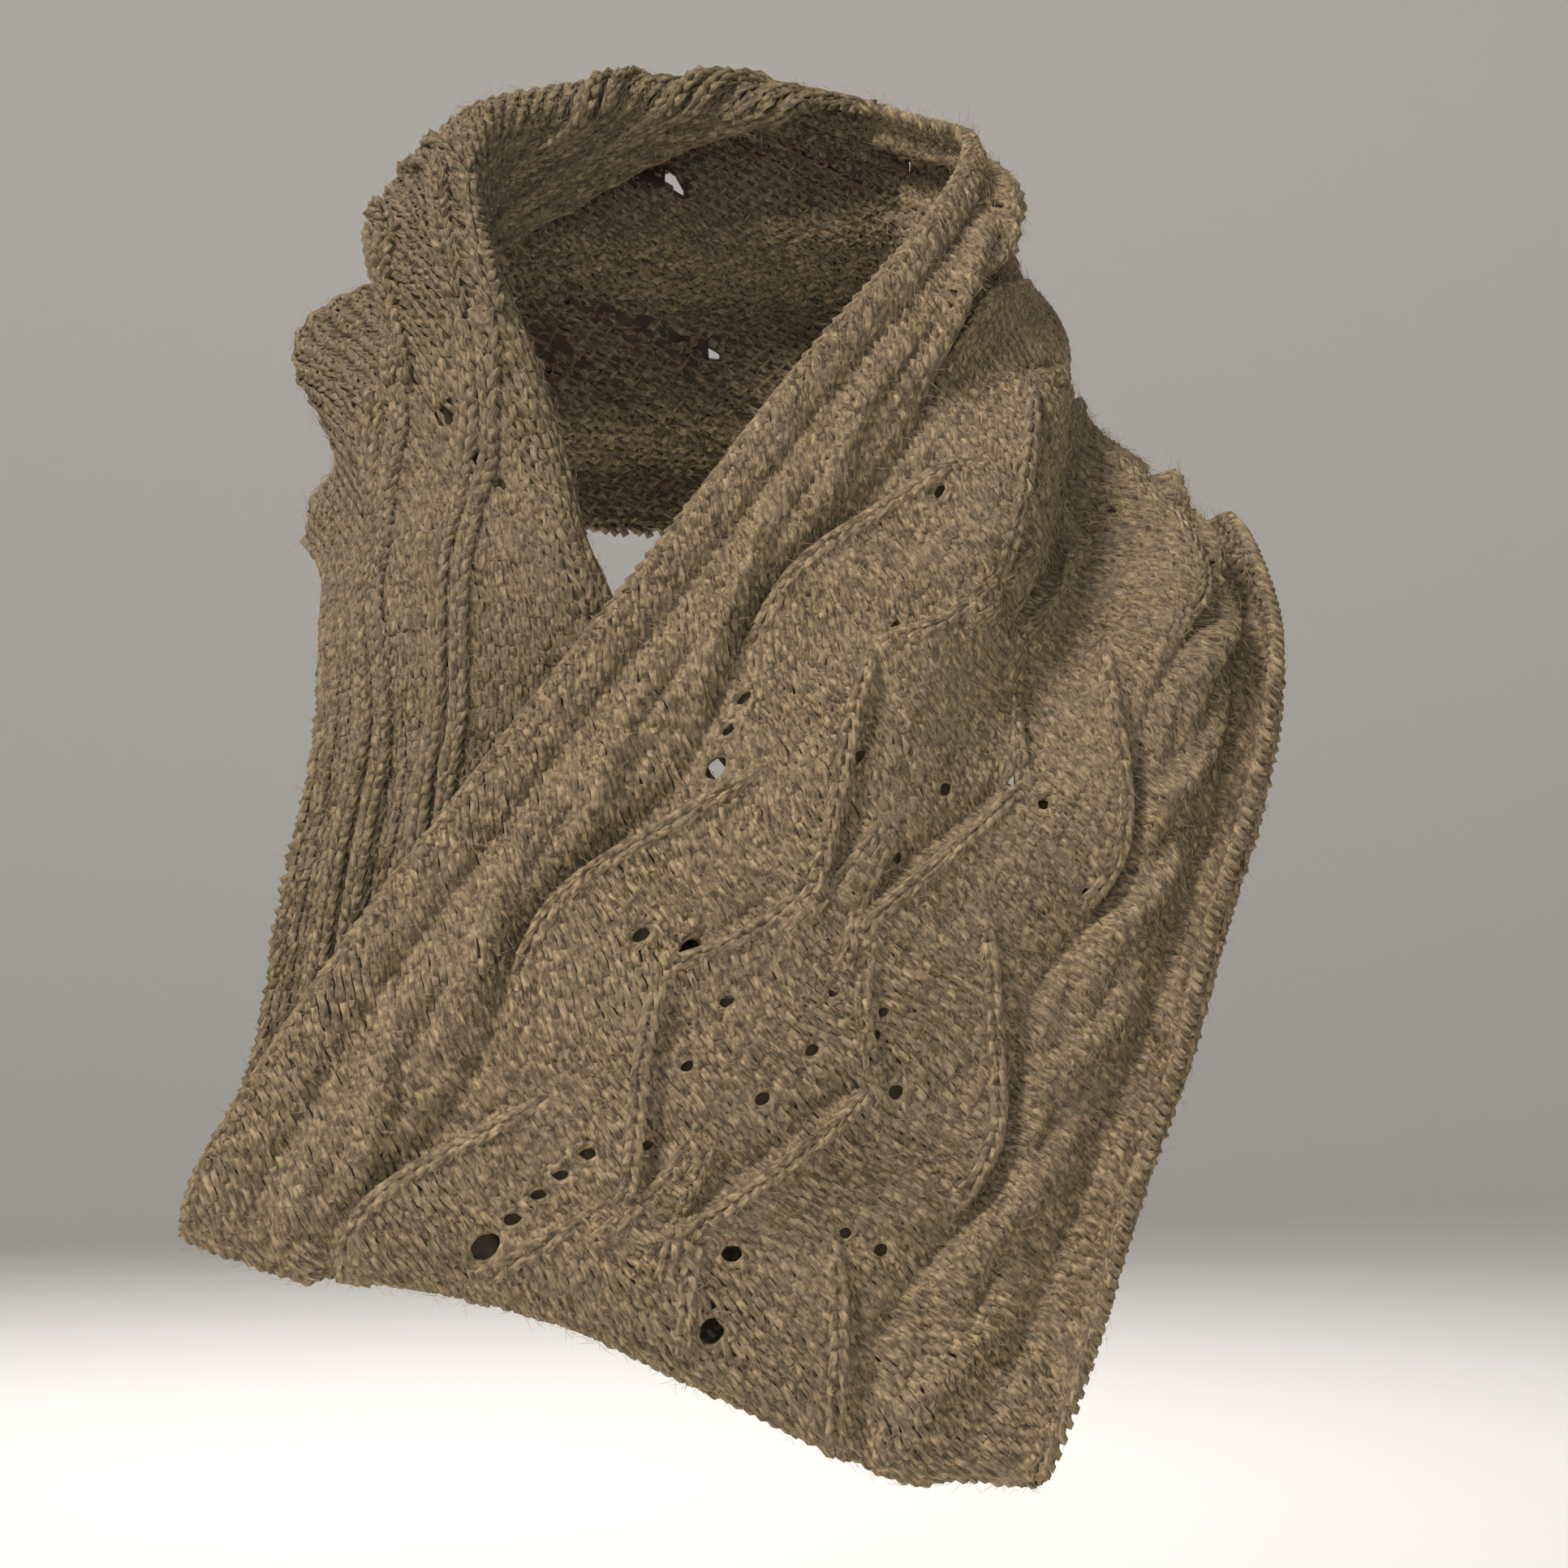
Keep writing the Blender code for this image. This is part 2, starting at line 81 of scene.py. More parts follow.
# One row for each section across the band, in order along it. a and b are the two edges.
# bow lifts the middle, fold is the height of the lengthwise folds, valley the depth of the
# one deep drape, all towards the band's right side, and place is where across it lies.
# curl_a and curl_b are how much of each edge is turned over, positive towards the right
# side, and hem is 1 on the bottom fold.
Section = namedtuple("Section", "name a b bow fold valley place curl_a curl_b hem")
SECTIONS = [Section(*row) for row in (
    ("graft", (36, 57, 30), (66, 84, -64), 4, 6, 0, 0.62, -6, 6, 0),
    ("left shoulder back", (52, 28, 27), (96, 50, -70), -4, 2, 2, 0.62, 0, 14, 0),
    ("left shoulder", (56, -4, 19), (105, 8, -67), -6, 1, 3, 0.62, 0, 18, 0),
    ("collar front", (40, -44, -4), (113, -35, -86), -4, 1, 12, 0.62, 0, 18, 0),
    ("front 1", (18, -63, -29), (115, -56, -102), 3, 0, 15, 0.62, 0, 18, 0),
    ("front 2", (-3, -74, -56), (110, -70, -126), 8, 0, 9, 0.62, 0, 18, 0),
    ("front 3", (-27, -85, -86), (102, -82, -150), 12, 0, 4, 0.6, 0, 18, 0),
    ("front 4", (-54, -96, -120), (94, -92, -177), 13, 0, 0, 0.6, 0, 17, 0),
    ("front 5", (-80, -104, -154), (83, -101, -206), 11, 0, 0, 0.6, 0, 16, 0.1),
    ("front 6", (-100, -110, -184), (74, -109, -234), 8, 0, 0, 0.6, 0, 14, 0.5),
    ("front hem", (-110, -114, -204), (65, -117, -256), 4, 0, 0, 0.5, 0, 10, 1),
    ("bottom fold", (-111, -108.5, -211), (64, -111.5, -263), 0, 0, 0, 0.5, 0, 7, 1),
    ("back hem", (-109, -103, -203), (65, -106, -255), -2, 0, 0, 0.5, 0, 7, 1),
    ("under 1", (-99, -98, -179), (68, -99, -226), -4, 0, 0, 0.4, 0, 15, 0.4),
    ("under 2", (-94, -90, -154), (46, -90, -186), -5, 0, 0, 0.4, 0, 45, 0),
    ("under 3", (-90, -80, -130), (20, -82, -152), -6, 0, 0, 0.4, 0, 75, 0),
    ("under 4", (-86, -68, -107), (-6, -78, -118), -6, 0, 0, 0.4, 0, 105, 0),
    ("under 5", (-86, -50, -86), (-33, -71, -73), -6, 0, 0, 0.4, 0, 122, 0),
    ("right neck", (-87, -26, -74), (-42, -58, -51), -6, -1, 0, 0.4, 0, 122, 0),
    ("right neck top", (-93, 5, -68), (-55, -43, -18), -7, -2, 0, 0.4, 0, 118, 0),
    ("right shoulder", (-88, 36, -70), (-65, -18, 4), -12, -6, 0, 0.4, 0, 110, 0),
    ("right shoulder back", (-76, 66, -68), (-63, 14, 23), -13, -9, 0, 0.4, 0, 95, 0),
    ("nape 1", (-38, 88, -66), (-46, 40, 31), -4, -7, 0, 0.38, 0, 75, 0),
    ("nape 2", (2, 95, -65), (-18, 60, 35), 0, -6, 0, 0.38, -2, 48, 0),
    ("nape 3", (38, 93, -65), (14, 64, 34), 0, -8, 0, 0.38, -4, 22, 0),
)]


def s_curve(part):
    """From 0 to 1 and level at both ends: three times the square less twice the cube."""
    part = np.clip(part, 0, 1)
    return part ** 2 * (3 - 2 * part)


def smooth(knots, values, where):
    """Natural cubic spline through values at the knots, read at where."""
    gap = np.diff(knots)
    count = len(knots)
    system = np.eye(count)
    target = np.zeros(values.shape)
    slope = np.diff(values, axis=0) / gap[:, None]
    for i in range(1, count - 1):
        system[i, i - 1:i + 2] = gap[i - 1], 2 * (gap[i - 1] + gap[i]), gap[i]
        target[i] = 6 * (slope[i] - slope[i - 1])
    bend = np.linalg.solve(system, target)
    cell = np.clip(np.searchsorted(knots, where) - 1, 0, count - 2)
    left = ((knots[cell + 1] - where) / gap[cell])[:, None]
    right = 1 - left
    square = (gap[cell] ** 2)[:, None] / 6
    curve = (left ** 3 - left) * bend[cell] + (right ** 3 - right) * bend[cell + 1]
    return left * values[cell] + right * values[cell + 1] + square * curve


def turned(section):
    """The same section after the half turn: its edges and its sides change places."""
    return section._replace(
        a=section.b, b=section.a, bow=-section.bow, fold=-section.fold, valley=-section.valley,
        place=1 - section.place, curl_a=-section.curl_b, curl_b=-section.curl_a)


def section_values(where):
    """Every column of the table at places counted in sections along the closed band."""
    lap = [turned(s) for s in SECTIONS]
    rows = lap[-LAP:] + SECTIONS + lap[:LAP]
    table = np.array([[*s.a, *s.b, *s[3:]] for s in rows], dtype=float)
    middle = (table[:, 0:3] + table[:, 3:6]) / 2
    steps = np.linalg.norm(np.diff(middle, axis=0), axis=1) ** 0.5
    knots = np.concatenate([[0], np.cumsum(steps)])
    return smooth(knots, table, np.interp(where, np.arange(len(rows)) - LAP, knots))


def unit(vectors):
    """The vectors divided by their lengths."""
    return vectors / np.linalg.norm(vectors, axis=-1, keepdims=True)


def turned_edge(past, curl):
    """How far the turned edge lies out along the chord and up, past its bend.

    It turns by a half circle of CURL_RADIUS at most, and what is left runs straight on from
    there, gathered to TUCK_GATHER of its length.
    """
    angle = np.minimum(past / CURL_RADIUS, np.pi)
    straight = TUCK_GATHER * (past - angle * CURL_RADIUS)
    out = CURL_RADIUS * np.sin(angle) + straight * np.cos(angle)
    up = CURL_RADIUS * (1 - np.cos(angle)) + straight * np.sin(angle)
    return out, up * np.sign(curl)


def middle_surface(where, across):
    """Points of the cloth's middle, a row for each place along and a column for each across.

    Each section is a straight chord from edge to edge, lifted by its bow, folds and valley.
    What is turned over at an edge leaves the chord on an arc and runs back along it. The
    bottom fold rises and falls on a sine wave.
    """
    values = section_values(where)
    before = section_values(np.subtract(where, SMALL_STEP))
    step = section_values(np.add(where, SMALL_STEP)) - before
    a, b = values[:, 0:3], values[:, 3:6]
    bow, fold, valley, place, curl_a, curl_b, hem = (values[:, i:i + 1] for i in range(6, 13))
    chord = unit(b - a)
    lift = unit(np.cross(step[:, 0:3] + step[:, 3:6], chord))
    open_start = np.abs(curl_a)
    open_end = BAND_WIDTH - np.abs(curl_b)
    x = np.broadcast_to(across, (len(where), np.shape(across)[-1]))
    t = np.clip((x - open_start) / (open_end - open_start), 0, 1)
    from_valley = ((t - place) / VALLEY_SPREAD) ** 2
    drape = valley * (2 * from_valley - 1) * np.exp(-from_valley)
    folds = fold * np.sin(TAU * FOLD_COUNT * t)
    inside = s_curve(np.minimum(t, 1 - t) / EDGE_EASE)
    height = bow * np.sin(np.pi * t) ** 2 + (drape + folds) * inside
    out_a, up_a = turned_edge(np.maximum(open_start - x, 0), curl_a)
    out_b, up_b = turned_edge(np.maximum(x - open_end, 0), curl_b)
    length = np.linalg.norm(b - a, axis=1)[:, None]
    reach = length * t - out_a + out_b
    height = height + up_a + up_b
    dip = hem * HEM_WAVE * np.sin(TAU * (t - HEM_PLACE)) * inside
    points = a[:, None] + reach[..., None] * chord[:, None] + height[..., None] * lift[:, None]
    points[..., 2] += dip
    return points


class Drape:
    """The draped middle surface, sampled once on a fine grid and then read anywhere."""
    ALONG_STEP = 1.4
    ACROSS_STEP = 2.0
    MARGIN = 60.0
    OVERHANG = 8.0
    SAMPLES = 2401
    CORNER_LIFT = 6.0
    CORNER_WIDTH = 8.0
    CORNER_LIMIT = 1.2
    CORNER_POWER = 1.6
    CORNER_REACH = 11.0

    def __init__(self):
        fine = np.linspace(-2, len(SECTIONS) + 2, self.SAMPLES)
        values = section_values(fine)
        middle = (values[:, 0:3] + values[:, 3:6]) / 2
        length = np.linalg.norm(np.diff(middle, axis=0), axis=1)
        distance = np.concatenate([[0], np.cumsum(length)])
        distance -= np.interp(0, fine, distance)
        self.section_at = (fine, distance)
        self.length = np.interp(len(SECTIONS), fine, distance)
        self.along = np.arange(-self.MARGIN, self.length + self.MARGIN, self.ALONG_STEP)
        self.across = np.arange(-self.OVERHANG, BAND_WIDTH + self.OVERHANG + 0.1, self.ACROSS_STEP)
        where = np.interp(self.along, distance, fine)
        points = middle_surface(where, self.across)
        # The bottom corner at edge B is rounded: lifted more towards the edge and the fold.
        near_edge = (self.across - BAND_WIDTH) / self.CORNER_WIDTH + 1
        near_edge = np.clip(near_edge, 0, self.CORNER_LIMIT) ** self.CORNER_POWER
        from_fold = (self.along - np.interp(FOLD_SECTION, fine, distance)) / self.CORNER_REACH
        points[..., 2] += self.CORNER_LIFT * np.exp(-from_fold ** 2)[:, None] * near_edge
        down = np.gradient(points, axis=0)
        right = np.gradient(points, axis=1)
        self.points = points
        self.normals = unit(np.cross(down, right))
        self.tuck = BAND_WIDTH - np.abs(section_values(where)[:, CURL_B]) + np.pi * CURL_RADIUS

    def distance_to(self, section):
        """Distance along the middle of the band from the graft to a section."""
        fine, distance = self.section_at
        return float(np.interp(section, fine, distance))

    def read(self, across, along):
        """Point and right-side normal at each place, blended between the four grid points."""
        i = np.clip((along - self.along[0]) / self.ALONG_STEP, 0, len(self.along) - 1.001)
        j = np.clip((across - self.across[0]) / self.ACROSS_STEP, 0, len(self.across) - 1.001)
        i0, j0 = i.astype(int), j.astype(int)
        s, t = (i - i0)[..., None], (j - j0)[..., None]

        def blend(grid):
            near = grid[i0, j0] * (1 - t) + grid[i0, j0 + 1] * t
            far = grid[i0 + 1, j0] * (1 - t) + grid[i0 + 1, j0 + 1] * t
            return near * (1 - s) + far * s

        return blend(self.points), unit(blend(self.normals))


drape = Drape()
FOLD_LINE = drape.distance_to(FOLD_SECTION)
FRONT_END = drape.distance_to(FRONT_END_SECTION)
UNDER_END = drape.distance_to(UNDER_END_SECTION)

# ---------------------------------------------------------------- the knitting chart

# The leaf pattern along the band, and its slope across it.
LEAF_REPEAT = 77.6
FIRST_HEART = 36.6
MIDDLE = 95.0
SKEW = 0.16
SKEW_RISE = 110.0

# Slope of the wales and how it bends, how they fan out with each leaf, and how they wander.
WALE_SLOPE = 0.40
WALE_BEND = 0.0007
HEM_SLOPE = 0.42
FAN = 2.2
FAN_LAG = 0.25
FAN_WIDTH = 60
FAN_REACH = 70
WANDER = 0.9
WANDER_RATE = 1.7
WANDER_WIDTH = 37

# The relief is flattened along the bottom fold, and past it the band is seen turned over.
HEM_REACH = 15.0
HEM_FLAT = 0.8
TURN_EARLY = 5
TURN_REACH = 40

# Border, groove, rope and the line between rope and panel: offsets from the panel's middle.
BORDER_OFFSET = 84.0
BORDER_STEP = 2
BORDER_RISE = 0.8
GROOVE_OFFSET = 82.0
GROOVE_WIDTH = 2.2
GROOVE_DROP = 1.9
ROPE_OFFSET = 69.0
ROPE_LAG = 0.015
ROPE_SWING = 5.0
ROPE_RISE = 3.5
ROPE_OVER = 1.9
STRAND_WIDTH = 3.9
LINE_OFFSET = 58.2
LINE_WANDER = 5.3
LINE_LAG = 0.16
LINE_DROP = 3.0
LINE_WIDTH = 1.7
LINE_SPREAD = 4.5
LINE_AT_GRAFT = 0.3
RIM_OFFSET = 4.4
RIM_WIDTH = 2.2
RIM_RISE = 1.6

# Leaf ribs: the crest, its long shoulder on one side, and the sunk line and valley on the other.
RIB_START = 0.14
RIB_STOP = 1.04
RIB_FADE = 0.16
RIB_RISE = 1.1
RIB_WIDTH = 2.4
RIB_SHOULDER = 1.7
RIB_SHOULDER_WIDTH = 10
RIB_BESIDE = 1.9 * RIB_WIDTH
RIB_GROOVE = 1.2
RIB_GROOVE_WIDTH = 1.5
RIB_VALLEY = 1.6
RIB_VALLEY_WIDTH = 5
RIB_SAMPLES = 41
RIB_FINE_SAMPLES = 201

# Ribs of the leaf panel, mirrored about its middle and repeated with every leaf. Each is a
# smooth line through its knots, given as phases of the repeat and offsets from the middle.
# sunk is the side of it that has the sunk line, 1 away from the middle, and rise its height.
Rib = namedtuple("Rib", "name phases offsets sunk rise")
RIBS = [
    Rib("outer", (0.56, 0.72, 0.90, 1.04, 1.18, 1.34), (33, 41, 50, 56.5, 58.5, 56), 1, 1.0),
    Rib("inner", (0.14, 0.34, 0.56, 0.76, 0.84), (28.5, 22.5, 14.5, 8.5, 9.5), -1, 1.0),
    Rib("heart", (0.76, 0.90, 1.02, 1.14), (9, 13, 19, 28), 1, 0.55),
    Rib("vein", (0.48, 0.64, 0.80, 0.96), (1.5, 2.5, 5, 9), 1, 0.45),
]

# Eyelets: leaf repeats from the first heart, place across the band, and radius.
Eyelet = namedtuple("Eyelet", "leaf across radius")
EYELETS = [Eyelet(*row) for row in (
    (0, 70, 1.5), (0, 130, 1.5),
    (1, 70, 1.5), (1, 130, 1.5),
    (1.62, 60, 1.5), (2, 68, 1.2),
    (2.2, 120.5, 2), (2.23, 130, 1.7),
    (2.33, 104, 1.7), (2.57, 102, 1.3),
    (2.35, 45, 1.5), (2.44, 46.5, 1.3), (2.54, 49, 2.2), (2.6, 57, 1.4),
    (2.37, 79.5, 1.5), (2.78, 85.5, 1.2), (2.8, 103, 1.4),
    (2.42, 150, 1.2), (2.7, 131, 1),
    (3.02, 57.5, 1.7), (3.01, 69, 2.2),
    (3.12, 83.5, 1.4), (3.17, 106.5, 1.4), (3.32, 83.5, 1.2), (3.34, 102, 1.5),
    (3, 104, 1.1), (3, 117, 1.1), (3.07, 118, 1.3),
    (3.15, 119.5, 1.4), (3.2, 128.5, 1.7),
    (3.57, 84.5, 1.3), (3.65, 74.5, 1.7), (3.74, 72, 1.6), (3.82, 70.5, 1.6),
    (3.91, 68.5, 1.7), (4, 66, 2.8),
    (3.62, 131.5, 1.2), (3.63, 140, 1.4), (3.8, 112.5, 1.9), (3.89, 101, 1.4),
    (4, 117, 2.3),
)]
# Past the bottom fold the same holes lead to each heart, on both sides of the panel.
CHAIN_LEAVES = range(5, 10)
CHAIN_STEP = 0.085
CHAIN_OFFSET = 30.0
CHAIN_LEAN = 2.0
CHAIN_RADII = (2.2, 1.4, 1.4, 1.4)
for leaf in CHAIN_LEAVES:
    for side in (-1, 1):
        for hole, radius in enumerate(CHAIN_RADII):
            offset = CHAIN_OFFSET - CHAIN_LEAN * hole
            EYELETS.append(Eyelet(leaf - CHAIN_STEP * hole, MIDDLE + side * offset, radius))

# Eyelets of this radius and more go through the cloth as well.
OPEN_RADIUS = 1.8

# Pairs of knit columns that stand out on the wrong side: places along the band and across it.
Column = namedtuple("Column", "name along across")
COLUMNS = [
    Column("outer", (340, 478, 538, 577, 606, 638, 690, 740, 790),
           (14, 14, 19, 43, 66, 86, 60, 25, 14)),
    Column("inner", (340, 490, 523, 550, 567, 579, 607, 640, 690, 740, 790),
           (36, 32, 41, 53, 69, 78, 92, 106, 85, 50, 36)),
    Column("tucked inner", (340, 790), (154, 154)),
    Column("tucked outer", (340, 790), (177, 177)),
]


def bell(away):
    """e to minus the square of a distance given in widths."""
    return np.exp(-away ** 2)


def graft_ease(along):
    """0 at the graft, where the band's two ends meet turned over, and 1 away from it."""
    return s_curve(np.minimum(along, drape.length - along) / SKEW_RISE)


def leaf_phase(across, along):
    """Place along the leaf pattern, which slopes a little down towards edge B."""
    return (along - SKEW * graft_ease(along) * (across - MIDDLE) - FIRST_HEART) / LEAF_REPEAT


def line_offset(phase):
    """Distance from the panel's middle of the wandering line between rope and panel."""
    return LINE_OFFSET + LINE_WANDER * np.cos(TAU * (phase - LINE_LAG))


def rib_line(rib, run):
    """Phase and offset of a rib at fractions of its run, on a smooth curve through its knots."""
    knots = np.linspace(0, 1, len(rib.phases))
    table = np.stack([rib.phases, rib.offsets], axis=1)
    line = smooth(knots, table, np.ravel(run)).reshape(np.shape(run) + (2,))
    return line[..., 0], line[..., 1]


def rib_runs(phase):
    """For each rib: its strength at each phase and its offset and slope there.

    The strength rises evenly from the rib's start, and falls evenly to nothing at its end.
    """
    for rib in RIBS:
        fine, offsets = rib_line(rib, np.linspace(0, 1, RIB_SAMPLES))
        start, reach = fine[0], fine[-1] - fine[0]
        run = np.mod(phase - start, 1.0) / reach
        centre = np.interp(run, (fine - start) / reach, offsets)
        slope = np.interp(run, (fine - start) / reach, np.gradient(offsets, fine)) / LEAF_REPEAT
        strength = np.clip(run / RIB_START, 0, 1) * np.clip((RIB_STOP - run) / RIB_FADE, 0, 1)
        yield rib, strength, centre, slope


def relief(across, along):
    """Height of borders, ropes, grooves and leaf ribs above the plain knitting.

    The border is a step, and grooves, rims and ribs are bells. A rope is the higher of two
    strands that swing to and fro across its middle and rise where they pass over each other.
    """
    phase = leaf_phase(across, along)
    offset = np.abs(across - MIDDLE)
    border = BORDER_RISE * np.clip((offset - BORDER_OFFSET) / BORDER_STEP + 0.5, 0, 1)
    groove = GROOVE_DROP * bell((offset - GROOVE_OFFSET) / GROOVE_WIDTH)
    turn = TAU * (phase - ROPE_LAG)
    swing = ROPE_SWING * np.cos(turn)
    over = ROPE_OVER * np.sin(turn)
    from_rope = offset - ROPE_OFFSET
    first = (ROPE_RISE + over) * np.exp(-(np.abs(from_rope - swing) / STRAND_WIDTH) ** 3)
    second = (ROPE_RISE - over) * np.exp(-(np.abs(from_rope + swing) / STRAND_WIDTH) ** 3)
    height = border - groove + np.maximum(first, second)
    from_line = offset - line_offset(phase)
    drop = 0.5 * bell(from_line / LINE_WIDTH) + 0.5 * bell(from_line / LINE_SPREAD)
    rim = bell((from_line - RIM_OFFSET) / RIM_WIDTH)
    clear = LINE_AT_GRAFT + (1 - LINE_AT_GRAFT) * graft_ease(along)
    height += (RIM_RISE * rim - LINE_DROP * drop) * clear
    for rib, strength, centre, slope in rib_runs(phase):
        away = (offset - centre) / np.sqrt(1 + slope ** 2)
        beside = away * rib.sunk - RIB_BESIDE
        behind = np.where(away * rib.sunk > 0, away / RIB_WIDTH, away / RIB_SHOULDER_WIDTH)
        height += RIB_RISE * rib.rise * strength * bell(away / RIB_WIDTH)
        height += RIB_SHOULDER * rib.rise * strength * bell(behind)
        height -= RIB_GROOVE * rib.rise * strength * bell(beside / RIB_GROOVE_WIDTH)
        height -= RIB_VALLEY * rib.rise * strength * bell(beside / RIB_VALLEY_WIDTH)
    return height * (1 - HEM_FLAT * bell((along - FOLD_LINE) / HEM_REACH))


def shown_side(along):
    """1 where the band's right side shows, -1 past the bottom fold, where it is turned over."""
    return 1 - 2 * s_curve((along - FRONT_END + TURN_EARLY) / TURN_REACH)


def wale_shift(across, along):
    """How far down each wale lies of its place on the middle line.

    The wales cross the band on a slope, steeper on the edge B side, and fan out and in again
    with every leaf.
    """
    offset = across - MIDDLE
    phase = (along - FIRST_HEART) / LEAF_REPEAT
    to_hem = np.clip(along / FRONT_END, 0, 1) ** 2
    slope = WALE_SLOPE * offset + WALE_BEND * offset * np.abs(offset)
    slope = slope + HEM_SLOPE * to_hem * np.minimum(offset, 0)
    fan = FAN * np.cos(TAU * (phase - FAN_LAG)) * np.sin(np.pi * offset / FAN_WIDTH)
    small = WANDER * np.sin(TAU * (WANDER_RATE * phase + offset / WANDER_WIDTH))
    return (slope + fan * np.exp(-(offset / FAN_REACH) ** 4) + small) * graft_ease(along)


def eyelet_place(eyelet):
    """Where an eyelet's middle lies, across and along the band."""
    return eyelet.across, FIRST_HEART + eyelet.leaf * LEAF_REPEAT


def round_eyelets(across, along, line, runs_along):
    """Bends the yarn round each eyelet, so that every line of stitches passes it on one side.

    line is where each line of stitches lies, across the band if it runs along it and along the
    band if not. It bends sideways, by the half chord of the round hole, less further out.
    """
    sideways, onwards = (across, along) if runs_along else (along, across)
    line = np.broadcast_to(line, across.shape)
    for eyelet in EYELETS:
        centre = eyelet_place(eyelet)
        side_at, on_at = centre if runs_along else centre[::-1]
        reach = eyelet.radius + YARN_CLEAR
        on = onwards - on_at
        near = (np.abs(on) < reach) & (np.abs(line - side_at) < BEND_REACH * reach)
        side = np.where(line[near] < side_at, -1.0, 1.0)
        out = np.maximum((sideways[near] - side_at) * side, 0)
        half_chord = np.sqrt(reach ** 2 - on[near] ** 2)
        fade = np.clip(1 - out / (BEND_REACH * reach), 0, 1)
        sideways[near] = side_at + side * np.sqrt(out ** 2 + half_chord ** 2 * fade)
    return across, along


# ---------------------------------------------------------------- the yarn

SEED = 11

# The yarn swells and thins a little along its way, and bends round the eyelets up to
# BEND_REACH times their size away.
YARN_RADIUS = 1.12
YARN_CLEAR = 0.9 * YARN_RADIUS
BEND_REACH = 3
SWELL = 0.07
SWELL_ACROSS = 1.9
SWELL_ALONG = 0.7
YARN_OFFSET = 37.0

# Courses along the band, in front, and how uneven their stitches are.
COURSES = 74
COURSE = BAND_WIDTH / COURSES
STITCH = 3.6
LOOP_LEAN = 0.16 * STITCH
LOOP_RISE = 0.92 * COURSE
LOOP_DEPTH = 0.8
LEG_LIFT = 0.3
UNEVEN = 0.18
SHIFT = 0.3
DEPTH_SHIFT = 0.6 * SHIFT

# At the band's edges the loops are smaller and dip, and none reaches further out than EDGE_OUT.
EDGE_CALM = 0.85
EDGE_OUT = 0.2
EDGE_DIP = 1.2
EDGE_WIDTH = 1.2

# Rows across the band, past the bottom fold.
ROW = 2.9
ROW_RISE = 0.85 * ROW
WALE = 3.7
ROW_LEAN = 0.22 * WALE
ROW_WAVE = 1.5
ROW_WAVE_WIDTH = 17

# Single loops, and the raised columns and gathers of the wrong side.
LOOP_SAMPLES = 7
LOOP_PART = (0.12, 0.88)
LOOP_BULGE = 0.24
LOOP_BACK = 0.9
COLUMN_STITCH = 3.5
COLUMN_PITCH = 2.9
COLUMN_RISE = 2.5
COLUMN_HEIGHT = 1.9
COLUMN_GAP = 2.8
COLUMN_WIDTH = 2.3
COLUMN_SCALE = 1.25
COLUMN_STEP = 0.5
COLUMN_SMOOTH = 20
COLUMN_SINK = 0.7
COLUMN_SINK_OFFSET = 2.2 * COLUMN_WIDTH
COLUMN_SINK_WIDTH = 2.5
GATHER_RISE = 1.2
GATHER_WAVE = 12.0

# Loops of the leaf ribs, of the selvedges and round the eyelets.
RIB_SCALE = 1.2
RIB_EASE = 7
RIB_LIFT = 0.5
RIB_END_SINK = 1.3
SELVEDGE = 0.9
SELVEDGE_DIP = 0.4
RIM_ARCS = 3
RIM_LAP = 0.15
RIM_REACH = 0.9
RIM_LIFT = 0.1

# Loose fibres: lengths as parts of NAP_LENGTH, and rise as a part of the length.
NAP_SEED = SEED + 7
NAP_LENGTH = 5.0
NAP_LENGTHS = (0.4, 1.4)
NAP_RISES = (0.05, 0.45)
NAP_ROOT = 1.3
NAP_BEND = 0.7
NAP_OUTSIDE = 0.8
NAP_WIDTH = 0.1


def unevenness(seed, stitches, points, count):
    """Smooth noise along each of count courses, about one swing in each stitch.

    A random value at each stitch, and between two stitches an S-shaped blend of theirs.
    """
    knots = np.random.default_rng(seed).normal(size=(count, stitches + 2))
    place = np.linspace(0, stitches, points)
    whole = place.astype(int)
    part = s_curve(place - whole)
    return knots[:, whole] * (1 - part) + knots[:, whole + 1] * part


def edge_dip(across):
    """How far the yarn dips at the band's two edges."""
    edge = np.minimum(across, BAND_WIDTH - across)
    return EDGE_DIP * np.clip(1 - edge / EDGE_WIDTH, 0, 1)


